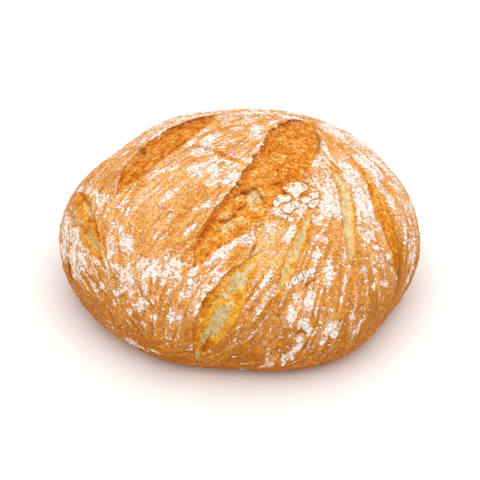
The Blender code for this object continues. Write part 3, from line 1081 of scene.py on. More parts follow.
@dataclass
class Surface:
    """The crust as a height above the dome and a coat, worked out for any places on it.

    foot_fade: over how many mm the relief dies away at the foot. sunk: how far the crust lies under
    the slashes' floors. bumps: the wavelength, the height and the shift of each size of noise.
    """

    dome: Dome
    grain: Grain
    dusting: Dusting
    foot_fade: float = 13.0
    sunk: float = 1.3
    bumps: tuple[tuple[float, float, float], ...] = (
        (26, 0.8, 0), (9, 0.4, 31), (3.9, 0.34, 57), (2.1, 0.18, 83),
    )
    noise: Noise = field(default_factory=lambda: Noise(11))

    def site(self, spots: Array) -> Site:
        """Looks up everything about places. The distance across each slash is shifted by noise, so
        that its edges run unevenly.

        Args:
            spots: (n, 2) places on the map, in mm.

        Returns:
            The places with what was found.
        """
        azimuth, reading = polar(spots)
        inland = self.dome.foot_tape(azimuth) - reading
        wander = self.wander(spots)
        bands = {}
        for slash in SLASHES:
            band = slash.course.locate(spots)
            bands[slash.name] = replace(band, across=band.across + wander * np.minimum(1, band.half / 5))
        return Site(spots, self.dome.place(spots), self.dome.upright(spots), inland, bands)

    def wander(self, spots: Array) -> Array:
        """How far a slash's edge strays sideways, in mm."""
        place = flat(spots)
        return 0.9 * self.noise.at(place, 6.5) + 0.35 * self.noise.at(place + 71, 2.1)

    def skin(self, site: Site) -> Array:
        """Height of the unbroken crust: swellings, noise in four sizes, stretch marks, the lips of
        the slashes, less the cracks and pits.

        Args:
            site: The places.

        Returns:
            (n,) heights in mm.
        """
        height = self.grain.at(site.spots) - 0.5
        for *middle, radius, rise in SWELLINGS:
            height += rise * bell(polar(site.spots - middle)[1] / radius)
        for wavelength, rise, shift in self.bumps:
            height += rise * self.noise.at(site.base + shift, wavelength)
        for slash in SLASHES:
            height += slash.lips(site.bands[slash.name])
        for crack in CRACKS:
            height -= crack.depth * crack.mark(site.spots)
        for pit in PITS:
            height -= 0.6 * pit.cover(site.spots)
        return height

    def relief(self, site: Site, cover: float | None = None) -> Array:
        """Height above the dome, with the slashes sunk into the skin under their own floors.

        Args:
            site: The places.
            cover: How far the crust lies below the floors of the slashes, in mm.

        Returns:
            (n,) heights in mm, dying away at the foot.
        """
        height = self.skin(site)
        for slash in SLASHES:
            band = site.bands[slash.name]
            inside = slash.opened(band)
            height = height * (1 - inside) + inside * (slash.floor(band) - (cover or self.sunk))
        return height * ease(0, self.foot_fade, site.inland)

    def points(self, site: Site, height: Array) -> Array:
        """Points at a height above the dome along its normals, never below the ground.

        Args:
            site: The places.
            height: (n,) heights in mm.

        Returns:
            (n, 3) points in mm.
        """
        place = site.base + site.up * height[:, None]
        place[:, 2] = np.maximum(place[:, 2], 0)
        return place

    def coat(self, site: Site) -> Coat:
        """The paint of the crust and of the slashes' insides at each place.

        Args:
            site: The places.

        Returns:
            The coat.
        """
        grain = self.grain.at(site.spots)
        opened, skin, crumb, yellow, bake, dark = (np.zeros(len(site.spots)) for _ in range(6))
        for slash in SLASHES:
            band = site.bands[slash.name]
            inside = slash.opened(band, slash.fade)
            pools = slash.pooled(band, site.spots, self.noise)
            gold = cover_all(slash.gold, site.spots) * inside
            pool = ease(0.33, 0.58, pools) * (1 - 0.75 * gold)
            if slash.inside is Inside.BLOOM:
                opened = np.maximum(opened, inside)
                crumb = np.maximum(crumb, inside * pool * 0.6)
                yellow = np.maximum(yellow, gold)
            else:
                skin = np.maximum(skin, inside)
                crumb = np.maximum(crumb, inside * pool)
                yellow = np.maximum(yellow, np.maximum(ease(0.0, 0.4, pools) * inside, gold))
            bake = bake + inside * slash.bake
            for tear in slash.tears:
                mark = tear.mark(site.spots) * inside
                # painted shade in the tear, with some scorching
                dark = np.maximum(dark, tear.dark * mark)
                bake = bake + tear.bake * mark
                crumb = crumb * (1 - tear.golden * mark)
                yellow = np.maximum(yellow, tear.golden * mark)
            for lump in slash.lumps:
                bake = bake - 0.22 * lump.cover(site.spots) * inside
        for crack in CRACKS:
            mark = crack.mark(site.spots)
            skin = np.maximum(skin, mark * min(1.0, crack.golden * 1.4))
            # painted shade in the crack, with some scorching
            dark = np.maximum(dark, crack.dark * mark)
        # painted shade in the pits, with some burning
        dark = np.maximum(dark, cover_all(PITS, site.spots) * 0.8)
        # browner towards the foot: partly baking, partly painted shade low on the loaf
        bake = bake - cover_all(GLOWS, site.spots) + 0.55 * ease(95, 15, site.inland)
        bake = bake + 0.14 * self.noise.layers(site.base + 5, 30, 3)
        flour = self.dusting.at(site, self.noise) * (1 - 0.97 * np.maximum(opened, skin))
        flour = flour - 0.02 - 0.1 * ease(75, 20, site.inland)
        return Coat(flour, opened, skin, crumb, yellow, bake, dark, grain)


# ---- meshes


@dataclass
class Shell:
    """A closed surface: points in mm, its faces by the numbers of their corners, and its coat."""

    points: Array
    faces: list[Array]
    coat: Coat | None = None

    def volume(self) -> float:
        """Six times the signed volume: the triple products of each face's first corner and each of
        its edges that leave that corner out.

        Returns:
            The number, below 0 where the faces point inwards.
        """
        total = 0.0
        for face in self.faces:
            for corner in range(1, face.shape[1] - 1):
                a, b, c = (self.points[face[:, k]] for k in (0, corner, corner + 1))
                total += float(np.einsum("ij,ij->i", a, np.cross(b, c)).sum())
        return total

    def make(self, name: str, finish: bpy.types.Material, slot: str | None = SLOT) -> bpy.types.Object:
        """Puts the surface into the scene as a smooth mesh that faces outwards.

        Args:
            name: The piece's name.
            finish: Its material.
            slot: The name of the record's material slot for the piece, if it has one. It is not used.

        Returns:
            The object, riding on the loaf's body.
        """
        turned = [face[:, ::-1] for face in self.faces] if self.volume() < 0 else self.faces
        mesh = bpy.data.meshes.new(name)
        mesh.from_pydata(self.points * MM, [], [row for face in turned for row in face.tolist()])
        mesh.polygons.foreach_set("use_smooth", np.ones(len(mesh.polygons), bool))
        if self.coat:
            self.coat.write(mesh)
        mesh.materials.append(finish)
        piece = placed(name, mesh)
        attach(piece, BODY)
        return piece


def tube(rings: int, around: int) -> list[Array]:
    """Faces of a closed tube: squares between each ring and the next, and a fan over each end.

    Args:
        rings: How many rings there are.
        around: How many points each has. Two more points follow them, the middles of the ends.

    Returns:
        The square faces and the triangular ones.
    """
    number = np.arange(rings * around).reshape(rings, around)
    beside = np.roll(number, -1, axis=1)
    squares = np.stack([number[:-1], beside[:-1], beside[1:], number[1:]], axis=-1).reshape(-1, 4)
    first, last = rings * around, rings * around + 1
    fan = [
        np.stack([beside[0], number[0], np.full(around, first)], axis=-1),
        np.stack([number[-1], beside[-1], np.full(around, last)], axis=-1),
    ]
    return [squares, np.concatenate(fan)]


def with_ends(values: Array) -> Array:
    """Ring values as one list, with the mean of the first ring and that of the last one after it.

    Args:
        values: (rings, around) values.

    Returns:
        (rings times around, plus 2) values.
    """
    return np.concatenate([values.ravel(), values[[0, -1]].mean(axis=1)])


def astride(line: Array, aside: Array, across: Array) -> Array:
    """Places at distances across a course, ring by ring.

    Args:
        line: (rings, 3) samples of the course.
        aside: (rings, 2) unit vectors across it.
        across: (rings, around) distances in mm.

    Returns:
        (n, 2) places on the map, with the middles of the first and the last ring at the end.
    """
    columns = (with_ends(line[:, axis, None] + aside[:, axis, None] * across) for axis in (0, 1))
    return np.stack(tuple(columns), axis=1)


def quads(number: Array) -> Array:
    """Square faces between the neighbouring rows and columns of a grid of point numbers."""
    corners = [number[:-1, :-1], number[1:, :-1], number[1:, 1:], number[:-1, 1:]]
    return np.stack(corners, axis=-1).reshape(-1, 4)


def placed(name: str, data: bpy.types.ID) -> bpy.types.Object:
    """Puts an object with this data into the scene, at the origin.

    Args:
        name: The object's name.
        data: Its mesh, light or camera.

    Returns:
        The object.
    """
    thing = bpy.data.objects.new(name, data)
    bpy.context.scene.collection.objects.link(thing)
    return thing


# ---- the whole crust


@dataclass
class LoafCrust:
    """The whole crust and its flat foot: one closed surface, a square grid wrapped round the dome.

    lean: how far the grid's middle lies from the crown to the north, in mm, so that the squares are
    finest where the slashes are. foot_rings: the rings under the loaf, as shares of its rim.
    """

    surface: Surface
    cells: int = 298
    lean: float = -25.0
    foot_rings: tuple[float, ...] = (0.985, 0.9, 0.7, 0.4)
    foot_flour: float = 0.34

    def disc(self) -> Array:
        """The square from -1 to 1 carried onto a disc: squares round its middle become rings.

        Returns:
            (n, 2) places on the map.
        """
        side = np.linspace(-1, 1, self.cells + 1)
        a, b = (grid.ravel() for grid in np.meshgrid(side, side, indexing="ij"))
        wide = np.abs(a) > np.abs(b)
        ring = np.where(wide, a, b)
        safe = np.where(ring == 0, 1, ring)
        azimuth = np.where(wide, np.pi / 4 * b / safe, np.pi / 2 - np.pi / 4 * a / safe)
        azimuth = np.where(ring < 0, azimuth + np.pi, azimuth)
        reading = np.abs(ring) * self.surface.dome.foot_tape(np.arctan2(np.sin(azimuth), np.cos(azimuth)))
        spots = mapped(azimuth, reading)
        spots[:, 1] += self.lean * (1 - ring**2)
        return spots

    def build(self) -> Shell:
        """The grid's squares, then rings of the foot that shrink to its middle.

        Returns:
            The closed shell.
        """
        site = self.surface.site(self.disc())
        top = self.surface.points(site, self.surface.relief(site))
        number = np.arange(len(top)).reshape(self.cells + 1, -1)
        rim = np.concatenate([number[:-1, 0], number[-1, :-1], number[:0:-1, -1], number[0, :0:-1]])
        top[rim, 2] = 0
        foot = (top[rim][None] * np.array(self.foot_rings)[:, None, None]).reshape(-1, 3)
        rings = np.concatenate([rim, len(top) + np.arange(len(foot))]).reshape(-1, len(rim))
        under = quads(np.hstack([rings, rings[:, :1]]))
        middle = np.full(len(rim), len(top) + len(foot))
        fan = np.stack([rings[-1], middle, np.roll(rings[-1], -1)], axis=-1)
        hidden = {"flour": self.foot_flour, "bake": 0.5, "grain": 0.5}
        paint = {
            name: np.append(values, np.full(len(foot) + 1, hidden.get(name, 0.0)))
            for name, values in vars(self.surface.coat(site)).items()
        }
        points = np.concatenate([top, foot, np.zeros((1, 3))])
        return Shell(points, [quads(number), under, fan], Coat(**paint))


# ---- inside the slashes


@dataclass
class Bloom:
    """What shows inside one slash: a fine closed slab that follows the slash's floor.

    pitch: the size of its squares. beyond: how far it runs on under the crust. dip: how far it dives
    there. thick: its thickness. All in mm.
    """

    surface: Surface
    slash: Slash
    pitch: float = 0.5
    beyond: float = 2.6
    dip: float = 2.5
    thick: float = 3.2

    def texture(self, site: Site) -> Array:
        """Height of the fine relief. Torn crust has ridged noise, whose places are shifted by noise
        so that the ridges curl. Crumb has pores. Smooth skin has a little of both noises.

        Args:
            site: The places.

        Returns:
            (n,) heights in mm.
        """
        noise, base = self.surface.noise, site.base
        warp = 2.2 * np.stack([noise.at(base + 13 * axis, 5.0) for axis in range(1, 4)], axis=1)
        ridges = 1 - 2 * np.abs(noise.at(base + warp, 4.2))
        fibres = 1 - 2 * np.abs(noise.at(base + 0.6 * warp + 40, 2.2))
        rolling = noise.layers(base + 9, 12, 2)
        if self.slash.inside is Inside.BLOOM:
            return 0.55 * ridges + 0.3 * fibres + 0.7 * rolling
        if self.slash.inside is Inside.SKIN:
            return 0.1 * ridges + 0.06 * fibres + 0.3 * rolling
        band = site.bands[self.slash.name]
        pools = ease(0.28, 0.62, self.slash.pooled(band, site.spots, noise))
        fine = 0.6 * noise.pores(site.spots[:, ::-1] * (1, -1), 1.7)
        pores = np.maximum(noise.pores(site.spots, 3.4), fine)
        return 0.09 * ridges + 0.05 * fibres + 0.4 * rolling - pools * (0.8 * pores + 0.4)

    def build(self) -> Shell:
        """A tube along the course, whose cross-section is the floor above and three points below.

        Returns:
            The closed shell.
        """
        slash, surface = self.slash, self.surface
        line, aside = slash.course.rail(self.pitch)
        share = np.linspace(-1, 1, int(2 * (slash.course.widest + self.beyond) / self.pitch))
        share = np.concatenate([share, [0.66, 0, -0.66]])
        across = share[None, :] * (line[:, 2:] + self.beyond)
        site = surface.site(astride(line, aside, across))
        band = site.bands[slash.name]
        out = np.abs(band.across) - band.half
        height = slash.floor(band) + self.texture(site) * (0.3 + 0.7 * slash.strength(band))
        for tear in slash.tears:
            height -= tear.depth * tear.mark(site.spots)
        for lump in slash.lumps:
            height += lump.weight * lump.cover(site.spots)
        height -= self.dip * ease(0.1, 1.3, out)
        under = with_ends(np.broadcast_to(np.arange(len(share)) >= len(share) - 3, across.shape) * 1.0)
        height = np.where(under > 0, slash.floor(band) - self.thick - self.dip, height)
        height *= ease(0, surface.foot_fade, site.inland)
        coat = surface.coat(site)
        inner = ease(2.0, 0.5, out)
        shown = "open" if slash.inside is Inside.BLOOM else "skin"
        changes = {shown: np.maximum(getattr(coat, shown), inner), "flour": coat.flour * (1 - inner)}
        return Shell(surface.points(site, height), tube(*across.shape), replace(coat, **changes))


@dataclass
class EarRim:
    """The ragged edge of crust that stands up and leans over a slash: a tube along the slash's
    course, whose cross-section runs over the crust, round the edge, and back below it.

    pitch: the step between the rings in mm. over: how many points run over the crust. bedded: how
    far outside the edge the crust's own height is taken, in mm, where the ear leans over the slash.
    """

    surface: Surface
    slash: Slash
    ear: Ear
    pitch: float = 0.4
    over: int = 13
    bedded: float = 0.8

    def profile(self, taper: Array, ragged: Array, chips: Array) -> tuple[Array, Array]:
        """The cross-sections: top, tip, underside and root. The top starts under the crust, comes
        through it and rises as a smooth step, and the tip is a part of a circle.

        Args:
            taper: (rings, 1) numbers that fall to 0 at the ear's ends.
            ragged: (rings, 1) noise, by which the ear reaches out unevenly.
            chips: (rings, 1) numbers that are 1 where the edge is chipped.

        Returns:
            The distance outside the slash's edge and the height over the crust, in mm.
        """
        ear = self.ear
        reach = ear.overhang * taper * (1 + 1.1 * ragged) - 1.8 * chips * taper
        thick = ear.thickness * (0.25 + 0.75 * taper) * (1 + 0.3 * ragged)
        fall = self.slash.depth * 0.6 * (0.3 + 0.7 * taper)
        run = np.linspace(0, 1, self.over)[None, :]
        turn = np.radians([35, 90, 145])[None, :]
        top = -0.7 + 0.95 * ease(0, 0.25, run) + (ear.height * taper - 0.1) * ease(0.15, 1.0, run)
        edge = top[:, -1:]
        out = [
            ear.reach * (1 - run) - reach * run,
            -reach - 0.5 * thick * np.sin(turn) * 0.8,
            -reach, -0.4 * reach + 0.3, 0 * reach + 0.9, 0 * reach + 1.6,
            np.repeat([[ear.reach * 0.5, ear.reach]], len(taper), axis=0),
        ]
        rise = [
            top,
            edge - thick * (1 - np.cos(turn)) / 2,
            edge - thick, edge - thick * 1.1, edge - (thick + 0.6 * fall), edge - (thick + fall),
            np.repeat([[-2.2, -1.6]], len(taper), axis=0),
        ]
        return np.concatenate(out, axis=1), np.concatenate(rise, axis=1)

    def build(self) -> Shell:
        """The cross-sections joined into a tube, and flour along the edge.

        Returns:
            The closed shell.
        """
        ear, surface = self.ear, self.surface
        line, aside = self.slash.course.rail(self.pitch)
        way = (np.linspace(0, 1, len(line))[:, None] - ear.start) / (ear.end - ear.start)
        taper = np.sin(np.pi * np.clip(way, 0, 1)) ** 0.45
        root = line[:, :2] - aside * line[:, 2:]
        place = flat(root)
        ragged = surface.noise.layers(place + 61, 3.4, 2) + 0.45 * surface.noise.at(place + 5, 1.3)
        chips = ease(0.35, 0.6, surface.noise.at(place + 151, 4.5))
        out, rise = self.profile(taper, ragged[:, None], chips[:, None])
        edge = line[:, 2:] + surface.wander(root)[:, None] * np.minimum(1, line[:, 2:] / 5)
        held = surface.site(astride(line, aside, -(edge + np.maximum(out, self.bedded))))
        real = surface.site(astride(line, aside, -(edge + out)))
        height = (surface.skin(held) + with_ends(rise)) * ease(0, surface.foot_fade, real.inland)
        column = np.arange(out.shape[1])
        run = np.where(column < self.over, column / (self.over - 1), 0)
        below = with_ends(np.broadcast_to(ease(self.over + 0.5, self.over + 3, column), out.shape))
        near = with_ends(np.broadcast_to(ease(0.45, 0.95, run), out.shape))
        powder = 0.28 * near * (0.6 + surface.noise.layers(held.base + 3, 6, 2))
        coat = surface.coat(held)
        # the underside is torn crust and a little browner: its baked colour, with painted shade under the
        # ear
        coat = replace(
            coat,
            flour=np.clip(coat.flour + powder, 0, 1) * (1 - below),
            open=np.maximum(coat.open * (1 - near), below),
            skin=coat.skin * (1 - near),
            bake=coat.bake * (1 - below) + 0.15 * below,
        )
        return Shell(surface.points(real, height), tube(*out.shape), coat)


# ---- scales of crust


@dataclass(frozen=True)
class Scale:
    """A scale of cracked crust: its corners on the map, how far it is lifted and how it is tilted,
    in mm and mm per mm to the east and to the north."""

    corners: tuple[tuple[float, float], ...]
    lift: float = 0.5
    tilt_east: float = 0.0
    tilt_north: float = 0.0


SCALES = (
    Scale(
        ((28, -34), (34.5, -26), (43, -26), (48, -29), (43, -34), (37, -41), (33.5, -38.5), (31, -37)),
        lift=0.7, tilt_east=-0.05, tilt_north=0.02,
    ),
    Scale(
        ((21, -49), (22, -44), (26.5, -40), (33, -39.5), (34.5, -41.5), (31.5, -45), (27, -46.5), (24, -51)),
        lift=0.8, tilt_east=-0.04, tilt_north=0.05,
    ),
    Scale(
        (
            (27, -50), (32, -48), (35.5, -44), (39, -44.5), (40, -50),
            (36, -52), (33, -56), (30.5, -57), (27.5, -53.5),
        ),
        lift=0.9, tilt_east=0.0, tilt_north=-0.06,
    ),
    Scale(((40, -42), (45, -37.5), (48.5, -41), (44.5, -45.5)), 0.5, 0.05),
    Scale(((46, -36.5), (50, -33), (53.5, -34), (53.5, -38), (49.5, -40.5)), 0.5, 0.03, 0.04),
    Scale(((45.5, -46.5), (49.5, -42), (53, -40), (53, -44), (49, -49)), 0.4, 0.03, -0.03),
    Scale(((28, -56), (31, -58), (30, -62), (26.5, -60)), 0.6, -0.03, -0.05),
)
RUNG = ((30, -108.5), (33.3, -106.6), (36, -110.4), (32.6, -112.8))
LADDER = tuple(
    Scale(
        tuple((east + 3.9 * step, north + 2.9 * step) for east, north in RUNG),
        lift=0.5, tilt_east=0.02 * (-1) ** step, tilt_north=0.05 * (-1) ** (step // 2),
    )
    for step in range(5)
)


@dataclass
class CrackedScales:
    """Scales where the thin floury crust broke up as the dough swelled under it.

    around: points round a scale. thickness: in mm. settle: the share of its lift that a scale keeps.
    rings: the rings of a scale, as shares of the way from its middle to its outline, with their
    levels, which are shares of the thickness above 0 and mm below it.
    """

    surface: Surface
    scales: tuple[Scale, ...]
    around: int = 96
    thickness: float = 0.7
    settle: float = 0.55
    rings: tuple[tuple[float, float], ...] = (
        (0.05, -1.4), (0.5, -1.4), (0.9, -1.4), (1.0, -0.6), (1.02, 0.45), (0.97, 0.86),
        (0.86, 0.96), (0.66, 1.0), (0.44, 1.0), (0.22, 0.98), (0.05, 0.96),
    )

    def outline(self, scale: Scale) -> Array:
        """A rough outline: even steps along the sides, a little out and in by noise.

        Args:
            scale: The scale.

        Returns:
            (around, 2) places.
        """
        corners = np.array((*scale.corners, scale.corners[0]), float)
        reached = np.concatenate([[0], np.cumsum(np.linalg.norm(np.diff(corners, axis=0), axis=1))])
        steps = np.linspace(0, reached[-1], self.around, endpoint=False)
        outline = np.stack([np.interp(steps, reached, corners[:, axis]) for axis in (0, 1)], axis=1)
        outline = (outline + np.roll(outline, 1, axis=0) + np.roll(outline, -1, axis=0)) / 3
        middle = outline.mean(axis=0)
        stray = 0.07 * self.surface.noise.layers(flat(outline) + 41, 2.4, 2)
        return outline + (outline - middle) * stray[:, None]

    def one(self, scale: Scale) -> Shell:
        """Rings from the middle of the underside out to the edge, up, and in over the top.

        Args:
            scale: The scale.

        Returns:
            The closed shell.
        """
        outline = self.outline(scale)
        middle = outline.mean(axis=0)
        out, top = (np.array(column)[:, None] for column in zip(*self.rings))
        columns = [with_ends(mean + out * (edge - mean)) for mean, edge in zip(middle, outline.T)]
        spots = np.stack(columns, axis=1)
        level = with_ends(np.repeat(top, self.around, axis=1))
        site = self.surface.site(spots)
        tilt = (spots - middle) @ (scale.tilt_east, scale.tilt_north)
        rise = np.where(level > 0, level * self.thickness + self.settle * scale.lift + tilt, level)
        height = self.surface.skin(site) + rise
        coat = self.surface.coat(site)
        side = ease(0.9, 0.3, level)
        powder = 0.55 + 0.3 * self.surface.noise.layers(site.base + 23, 5, 2)
        flour = np.clip(coat.flour + powder, 0, 1) * (1 - side)
        bare = dict.fromkeys(("open", "crumb", "yellow"), np.zeros(len(spots)))
        # the sides are bare crust with a little painted shade
        coat = replace(coat, flour=flour, skin=0.8 * side, dark=0.25 * side, **bare)
        return Shell(self.surface.points(site, height), tube(len(out), self.around), coat)

    def build(self) -> Shell:
        """All the scales as one mesh."""
        return joined([self.one(scale) for scale in self.scales])


def joined(shells: Sequence[Shell]) -> Shell:
    """Shells as one, each turned outwards first, with their coats one after the other.

    Args:
        shells: The shells.

    Returns:
        The one shell.
    """
    start, faces = 0, []
    for shell in shells:
        flip = -1 if shell.volume() < 0 else 1
        faces += [face[:, ::flip] + start for face in shell.faces]
        start += len(shell.points)
    kinds = {face.shape[1] for face in faces}
    faces = [np.concatenate([face for face in faces if face.shape[1] == kind]) for kind in sorted(kinds)]
    coats = [vars(shell.coat) for shell in shells]
    coat = Coat(**{name: np.concatenate([each[name] for each in coats]) for name in coats[0]})
    return Shell(np.concatenate([shell.points for shell in shells]), faces, coat)


# ---- loose flour


@dataclass
class FlourLumps:
    """Lumps of flour that stand on the crust where it is thickly dusted, each a dented and flattened
    solid of twenty sides, and a few balls that are heaps of such lumps.

    count, tries: the most lumps there are, and how many places are tried. reach: how far from the
    crown, in mm. radius: their usual radius in mm. smallest, largest: their limits. balls: rows of
    east, north and radius in mm. heap: how many lumps make a ball.
    """

    surface: Surface
    count: int = 8000
    tries: int = 90000
    reach: float = 190.0
    radius: float = 0.27
    smallest: float = 0.12
    largest: float = 0.75
    balls: tuple[tuple[float, float, float], ...] = ()
    heap: int = 160
    seed: int = 3

    def twenty_sides(self) -> tuple[Array, Array]:
        """The corners of a solid with twenty equal sides, from the golden ratio: each side joins three
        corners that are two apart.

        Returns:
            (12, 3) corners at a distance of 1, and (20, 3) faces that face outwards.
        """
        golden = (1 + math.sqrt(5)) / 2
        signs = np.array([(0, a, b * golden) for a in (-1, 1) for b in (-1, 1)])
        corners = np.concatenate([np.roll(signs, -turn, axis=1) for turn in range(3)])
        near = np.abs(np.linalg.norm(corners[:, None] - corners[None], axis=2) - 2) < 0.01
        sides = combinations(range(len(corners)), 3)
        faces = np.array([side for side in sides if all(near[pair] for pair in combinations(side, 2))])
        a, b, c = (corners[faces[:, n]] for n in range(3))
        inward = np.einsum("ij,ij->i", a, np.cross(b, c)) < 0
        faces[inward] = faces[inward][:, ::-1]
        return corners / np.linalg.norm(corners[0]), faces

    def places(self, rng: np.random.Generator) -> tuple[Array, Array]:
        """Random places, kept more often where the flour is thick.

        Args:
            rng: The random numbers.

        Returns:
            The (n, 2) places of the lumps on the map, and their radii in mm.
        """
        azimuth = rng.uniform(-np.pi, np.pi, self.tries)
        reading = self.reach * np.sqrt(rng.uniform(0, 1, self.tries))
        spots = mapped(azimuth, reading)
        coat = self.surface.coat(self.surface.site(spots))
        chance = ease(0.3, 1.0, coat.flour + 0.35 * self.surface.noise.layers(flat(spots) + 7, 4, 2))
        keep = np.flatnonzero(rng.uniform(size=self.tries) < chance**1.5)[: self.count]
        radius = self.radius * np.exp(rng.normal(0, 0.35, len(keep)))
        return spots[keep], np.clip(radius, self.smallest, self.largest)

    def build(self) -> Shell:
        """Every lump turned at random, dented by random shares of its radius, and set on the crust.

        Returns:
            The shell of all the lumps.
        """
        rng = np.random.default_rng(self.seed)
        spots, radius = self.places(rng)
        above = np.zeros(len(spots))
        for *middle, ball_radius in self.balls:
            spread = rng.normal(size=(self.heap, 3))
            away = ball_radius * rng.uniform(0.75, 1, self.heap)
            spread *= (away / np.linalg.norm(spread, axis=1))[:, None]
            spots = np.concatenate([spots, spread[:, :2] + middle])
            above = np.append(above, np.abs(spread[:, 2]))
            radius = np.append(radius, rng.uniform(0.35, 0.6, self.heap))
        site = self.surface.site(spots)
        middle = self.surface.points(site, self.surface.relief(site, cover=0.05) + above + 0.25 * radius)
        corners, faces = self.twenty_sides()
        turn = np.linalg.qr(rng.normal(size=(len(spots), 3, 3)))[0]
        turn *= np.sign(np.linalg.det(turn))[:, None, None]
        size = radius[:, None, None] * rng.uniform(0.7, 1.25, (len(spots), len(corners), 1))
        offset = np.einsum("nij,kj->nki", turn, corners) * size
        lift = np.einsum("nki,ni->nk", offset, site.up)
        offset -= 0.35 * lift[:, :, None] * site.up[:, None, :]
        points = (middle[:, None] + offset).reshape(-1, 3)
        number = faces[None] + len(corners) * np.arange(len(spots))[:, None, None]
        return Shell(points, [number.reshape(-1, 3)])


# ---- shader expressions

Tint = tuple[float, float, float]
Ramp = tuple[tuple[float, Tint], ...]


def linear(tint: Tint) -> tuple[float, float, float, float]:
    """A screen colour as linear light: below 0.04 a twelfth or so, above it a power of 2.4 of the
    share above 0.055.

    Args:
        tint: Red, green and blue from 0 to 255.

    Returns:
        Red, green, blue and 1.
    """
    shares = [part / 255 for part in tint]
    light = [part / 12.92 if part <= 0.04045 else ((part + 0.055) / 1.055) ** 2.4 for part in shares]
    return (*light, 1.0)


class Wire:
    """A node's output that can stand in an expression: each sum, difference or product of wires and
    numbers adds a Math node."""

    def __init__(self, recipe: Recipe, socket: bpy.types.NodeSocket) -> None:
        """Keeps the recipe that the socket belongs to."""
        self.recipe, self.socket = recipe, socket

    def math(self, operation: str, first: Wire | float, second: Wire | float) -> Wire:
        """A Math node on two values."""
        return self.recipe.node("ShaderNodeMath", {"operation": operation}, {0: first, 1: second})

    def __add__(self, other: Wire | float) -> Wire:
        """self + other."""
        return self.math("ADD", self, other)

    __radd__ = __add__

    def __sub__(self, other: Wire | float) -> Wire:
        """self - other."""
        return self.math("SUBTRACT", self, other)

    def __rsub__(self, other: Wire | float) -> Wire:
        """other - self."""
        return self.math("SUBTRACT", other, self)

    def __mul__(self, other: Wire | float) -> Wire:
        """self * other."""
        return self.math("MULTIPLY", self, other)

    __rmul__ = __mul__

    def __abs__(self) -> Wire:
        """The size of the value without its sign."""
        return self.math("ABSOLUTE", self, 0.0)

    def most(self, other: Wire | float) -> Wire:
        """The larger of the two."""
        return self.math("MAXIMUM", self, other)

    def step(self, low: float, high: float) -> Wire:
        """A smooth step from 0 at low to 1 at high. Low may lie above high.

        Args:
            low: Where it starts.
            high: Where it ends.

        Returns:
            The step.
        """
        ends = {1: low, 2: high, 3: 0.0, 4: 1.0} if low < high else {1: high, 2: low, 3: 1.0, 4: 0.0}
        settings = {"interpolation_type": "SMOOTHSTEP"}
        return self.recipe.node("ShaderNodeMapRange", settings, {0: self, **ends})


class Recipe:
    """A material while its nodes are put together."""

    def __init__(self, name: str) -> None:
        """Starts an empty material.

        Args:
            name: The material's name.
        """
        self.material = bpy.data.materials.new(name)
        self.material.use_nodes = True
        self.tree = self.material.node_tree
        self.tree.nodes.clear()
        self.place = self.node("ShaderNodeTexCoord", {}, {}, "Object")

    def node(self, kind: str, settings: dict, sockets: dict, output: int | str = 0) -> Wire:
        """Adds a node.

        Args:
            kind: The node's type.
            settings: Its properties, which are set first. stops are a ramp's places and tints.
            sockets: Values or wires for its inputs, by name or number.
            output: The output that is wanted.

        Returns:
            That output.
        """
        node = self.tree.nodes.new(kind)
        for name, value in settings.items():
            if name == "stops":
                elements = node.color_ramp.elements
                for _ in value[2:]:
                    elements.new(0.5)
                for element, (where, tint) in zip(elements, value):
                    element.position, element.color = where, linear(tint)
            else:
                setattr(node, name, value)
        for name, value in sockets.items():
            if isinstance(value, Wire):
                self.tree.links.new(value.socket, node.inputs[name])
            else:
                node.inputs[name].default_value = value
        return Wire(self, node.outputs[output])

    def coat(self, *names: str) -> tuple[Wire, ...]:
        """Values of the piece's coat."""
        return tuple(self.node("ShaderNodeAttribute", {"attribute_name": name}, {}, "Fac") for name in names)

    def noise(self, size: float, layers: float = 2.0, harsh: float = 0.55, curl: float = 0.0) -> Wire:
        """Noise about 0, from -0.5 to 0.5.

        Args:
            size: The size of its lumps in mm.
            layers: How many finer layers it has.
            harsh: How much each finer layer counts.
            curl: How much it is distorted.

        Returns:
            The noise.
        """
        values = {"Vector": self.place, "Scale": 1 / (size * MM), "Detail": layers}
        values |= {"Roughness": harsh, "Distortion": curl}
        return self.node("ShaderNodeTexNoise", {}, values, "Fac") - 0.5

    def tints(self, value: Wire, stops: Ramp) -> Wire:
        """Tints along a ramp."""
        return self.node("ShaderNodeValToRGB", {"stops": stops}, {0: value}, "Color")

    def mix(self, share: Wire, first: Wire | Tint, second: Wire | Tint) -> Wire:
        """The first tint where the share is 0 and the second where it is 1.

        Args:
            share: The share of the second tint.
            first: A tint.
            second: The other tint.

        Returns:
            The mixed tint.
        """
        pair = [tint if isinstance(tint, Wire) else linear(tint) for tint in (first, second)]
        settings = {"data_type": "RGBA", "clamp_factor": True}
        return self.node("ShaderNodeMix", settings, {0: share, 6: pair[0], 7: pair[1]}, 2)

    def scaled(self, tint: Wire, share: Wire | float) -> Wire:
        """A tint made brighter or darker."""
        return self.node("ShaderNodeVectorMath", {"operation": "SCALE"}, {0: tint, 3: share})

    def done(self, tint: Wire, rough: Wire | float, height: Wire, strength: float) -> bpy.types.Material:
        """Ends the material in a Principled shader.

        Args:
            tint: The base colour.
            rough: The roughness.
            height: The height of the fine relief in mm.
            strength: How strongly the relief bends the normal.

        Returns:
            The material.
        """
        bump = self.node("ShaderNodeBump", {}, {"Strength": strength, "Distance": MM, "Height": height})
        sockets = {"Base Color": tint, "Roughness": rough, "Normal": bump, "Specular IOR Level": 0.08}
        shader = self.node("ShaderNodeBsdfPrincipled", {}, sockets)
        output = self.tree.nodes.new("ShaderNodeOutputMaterial")
        self.tree.links.new(shader.socket, output.inputs["Surface"])
        return self.material


# ---- finishes


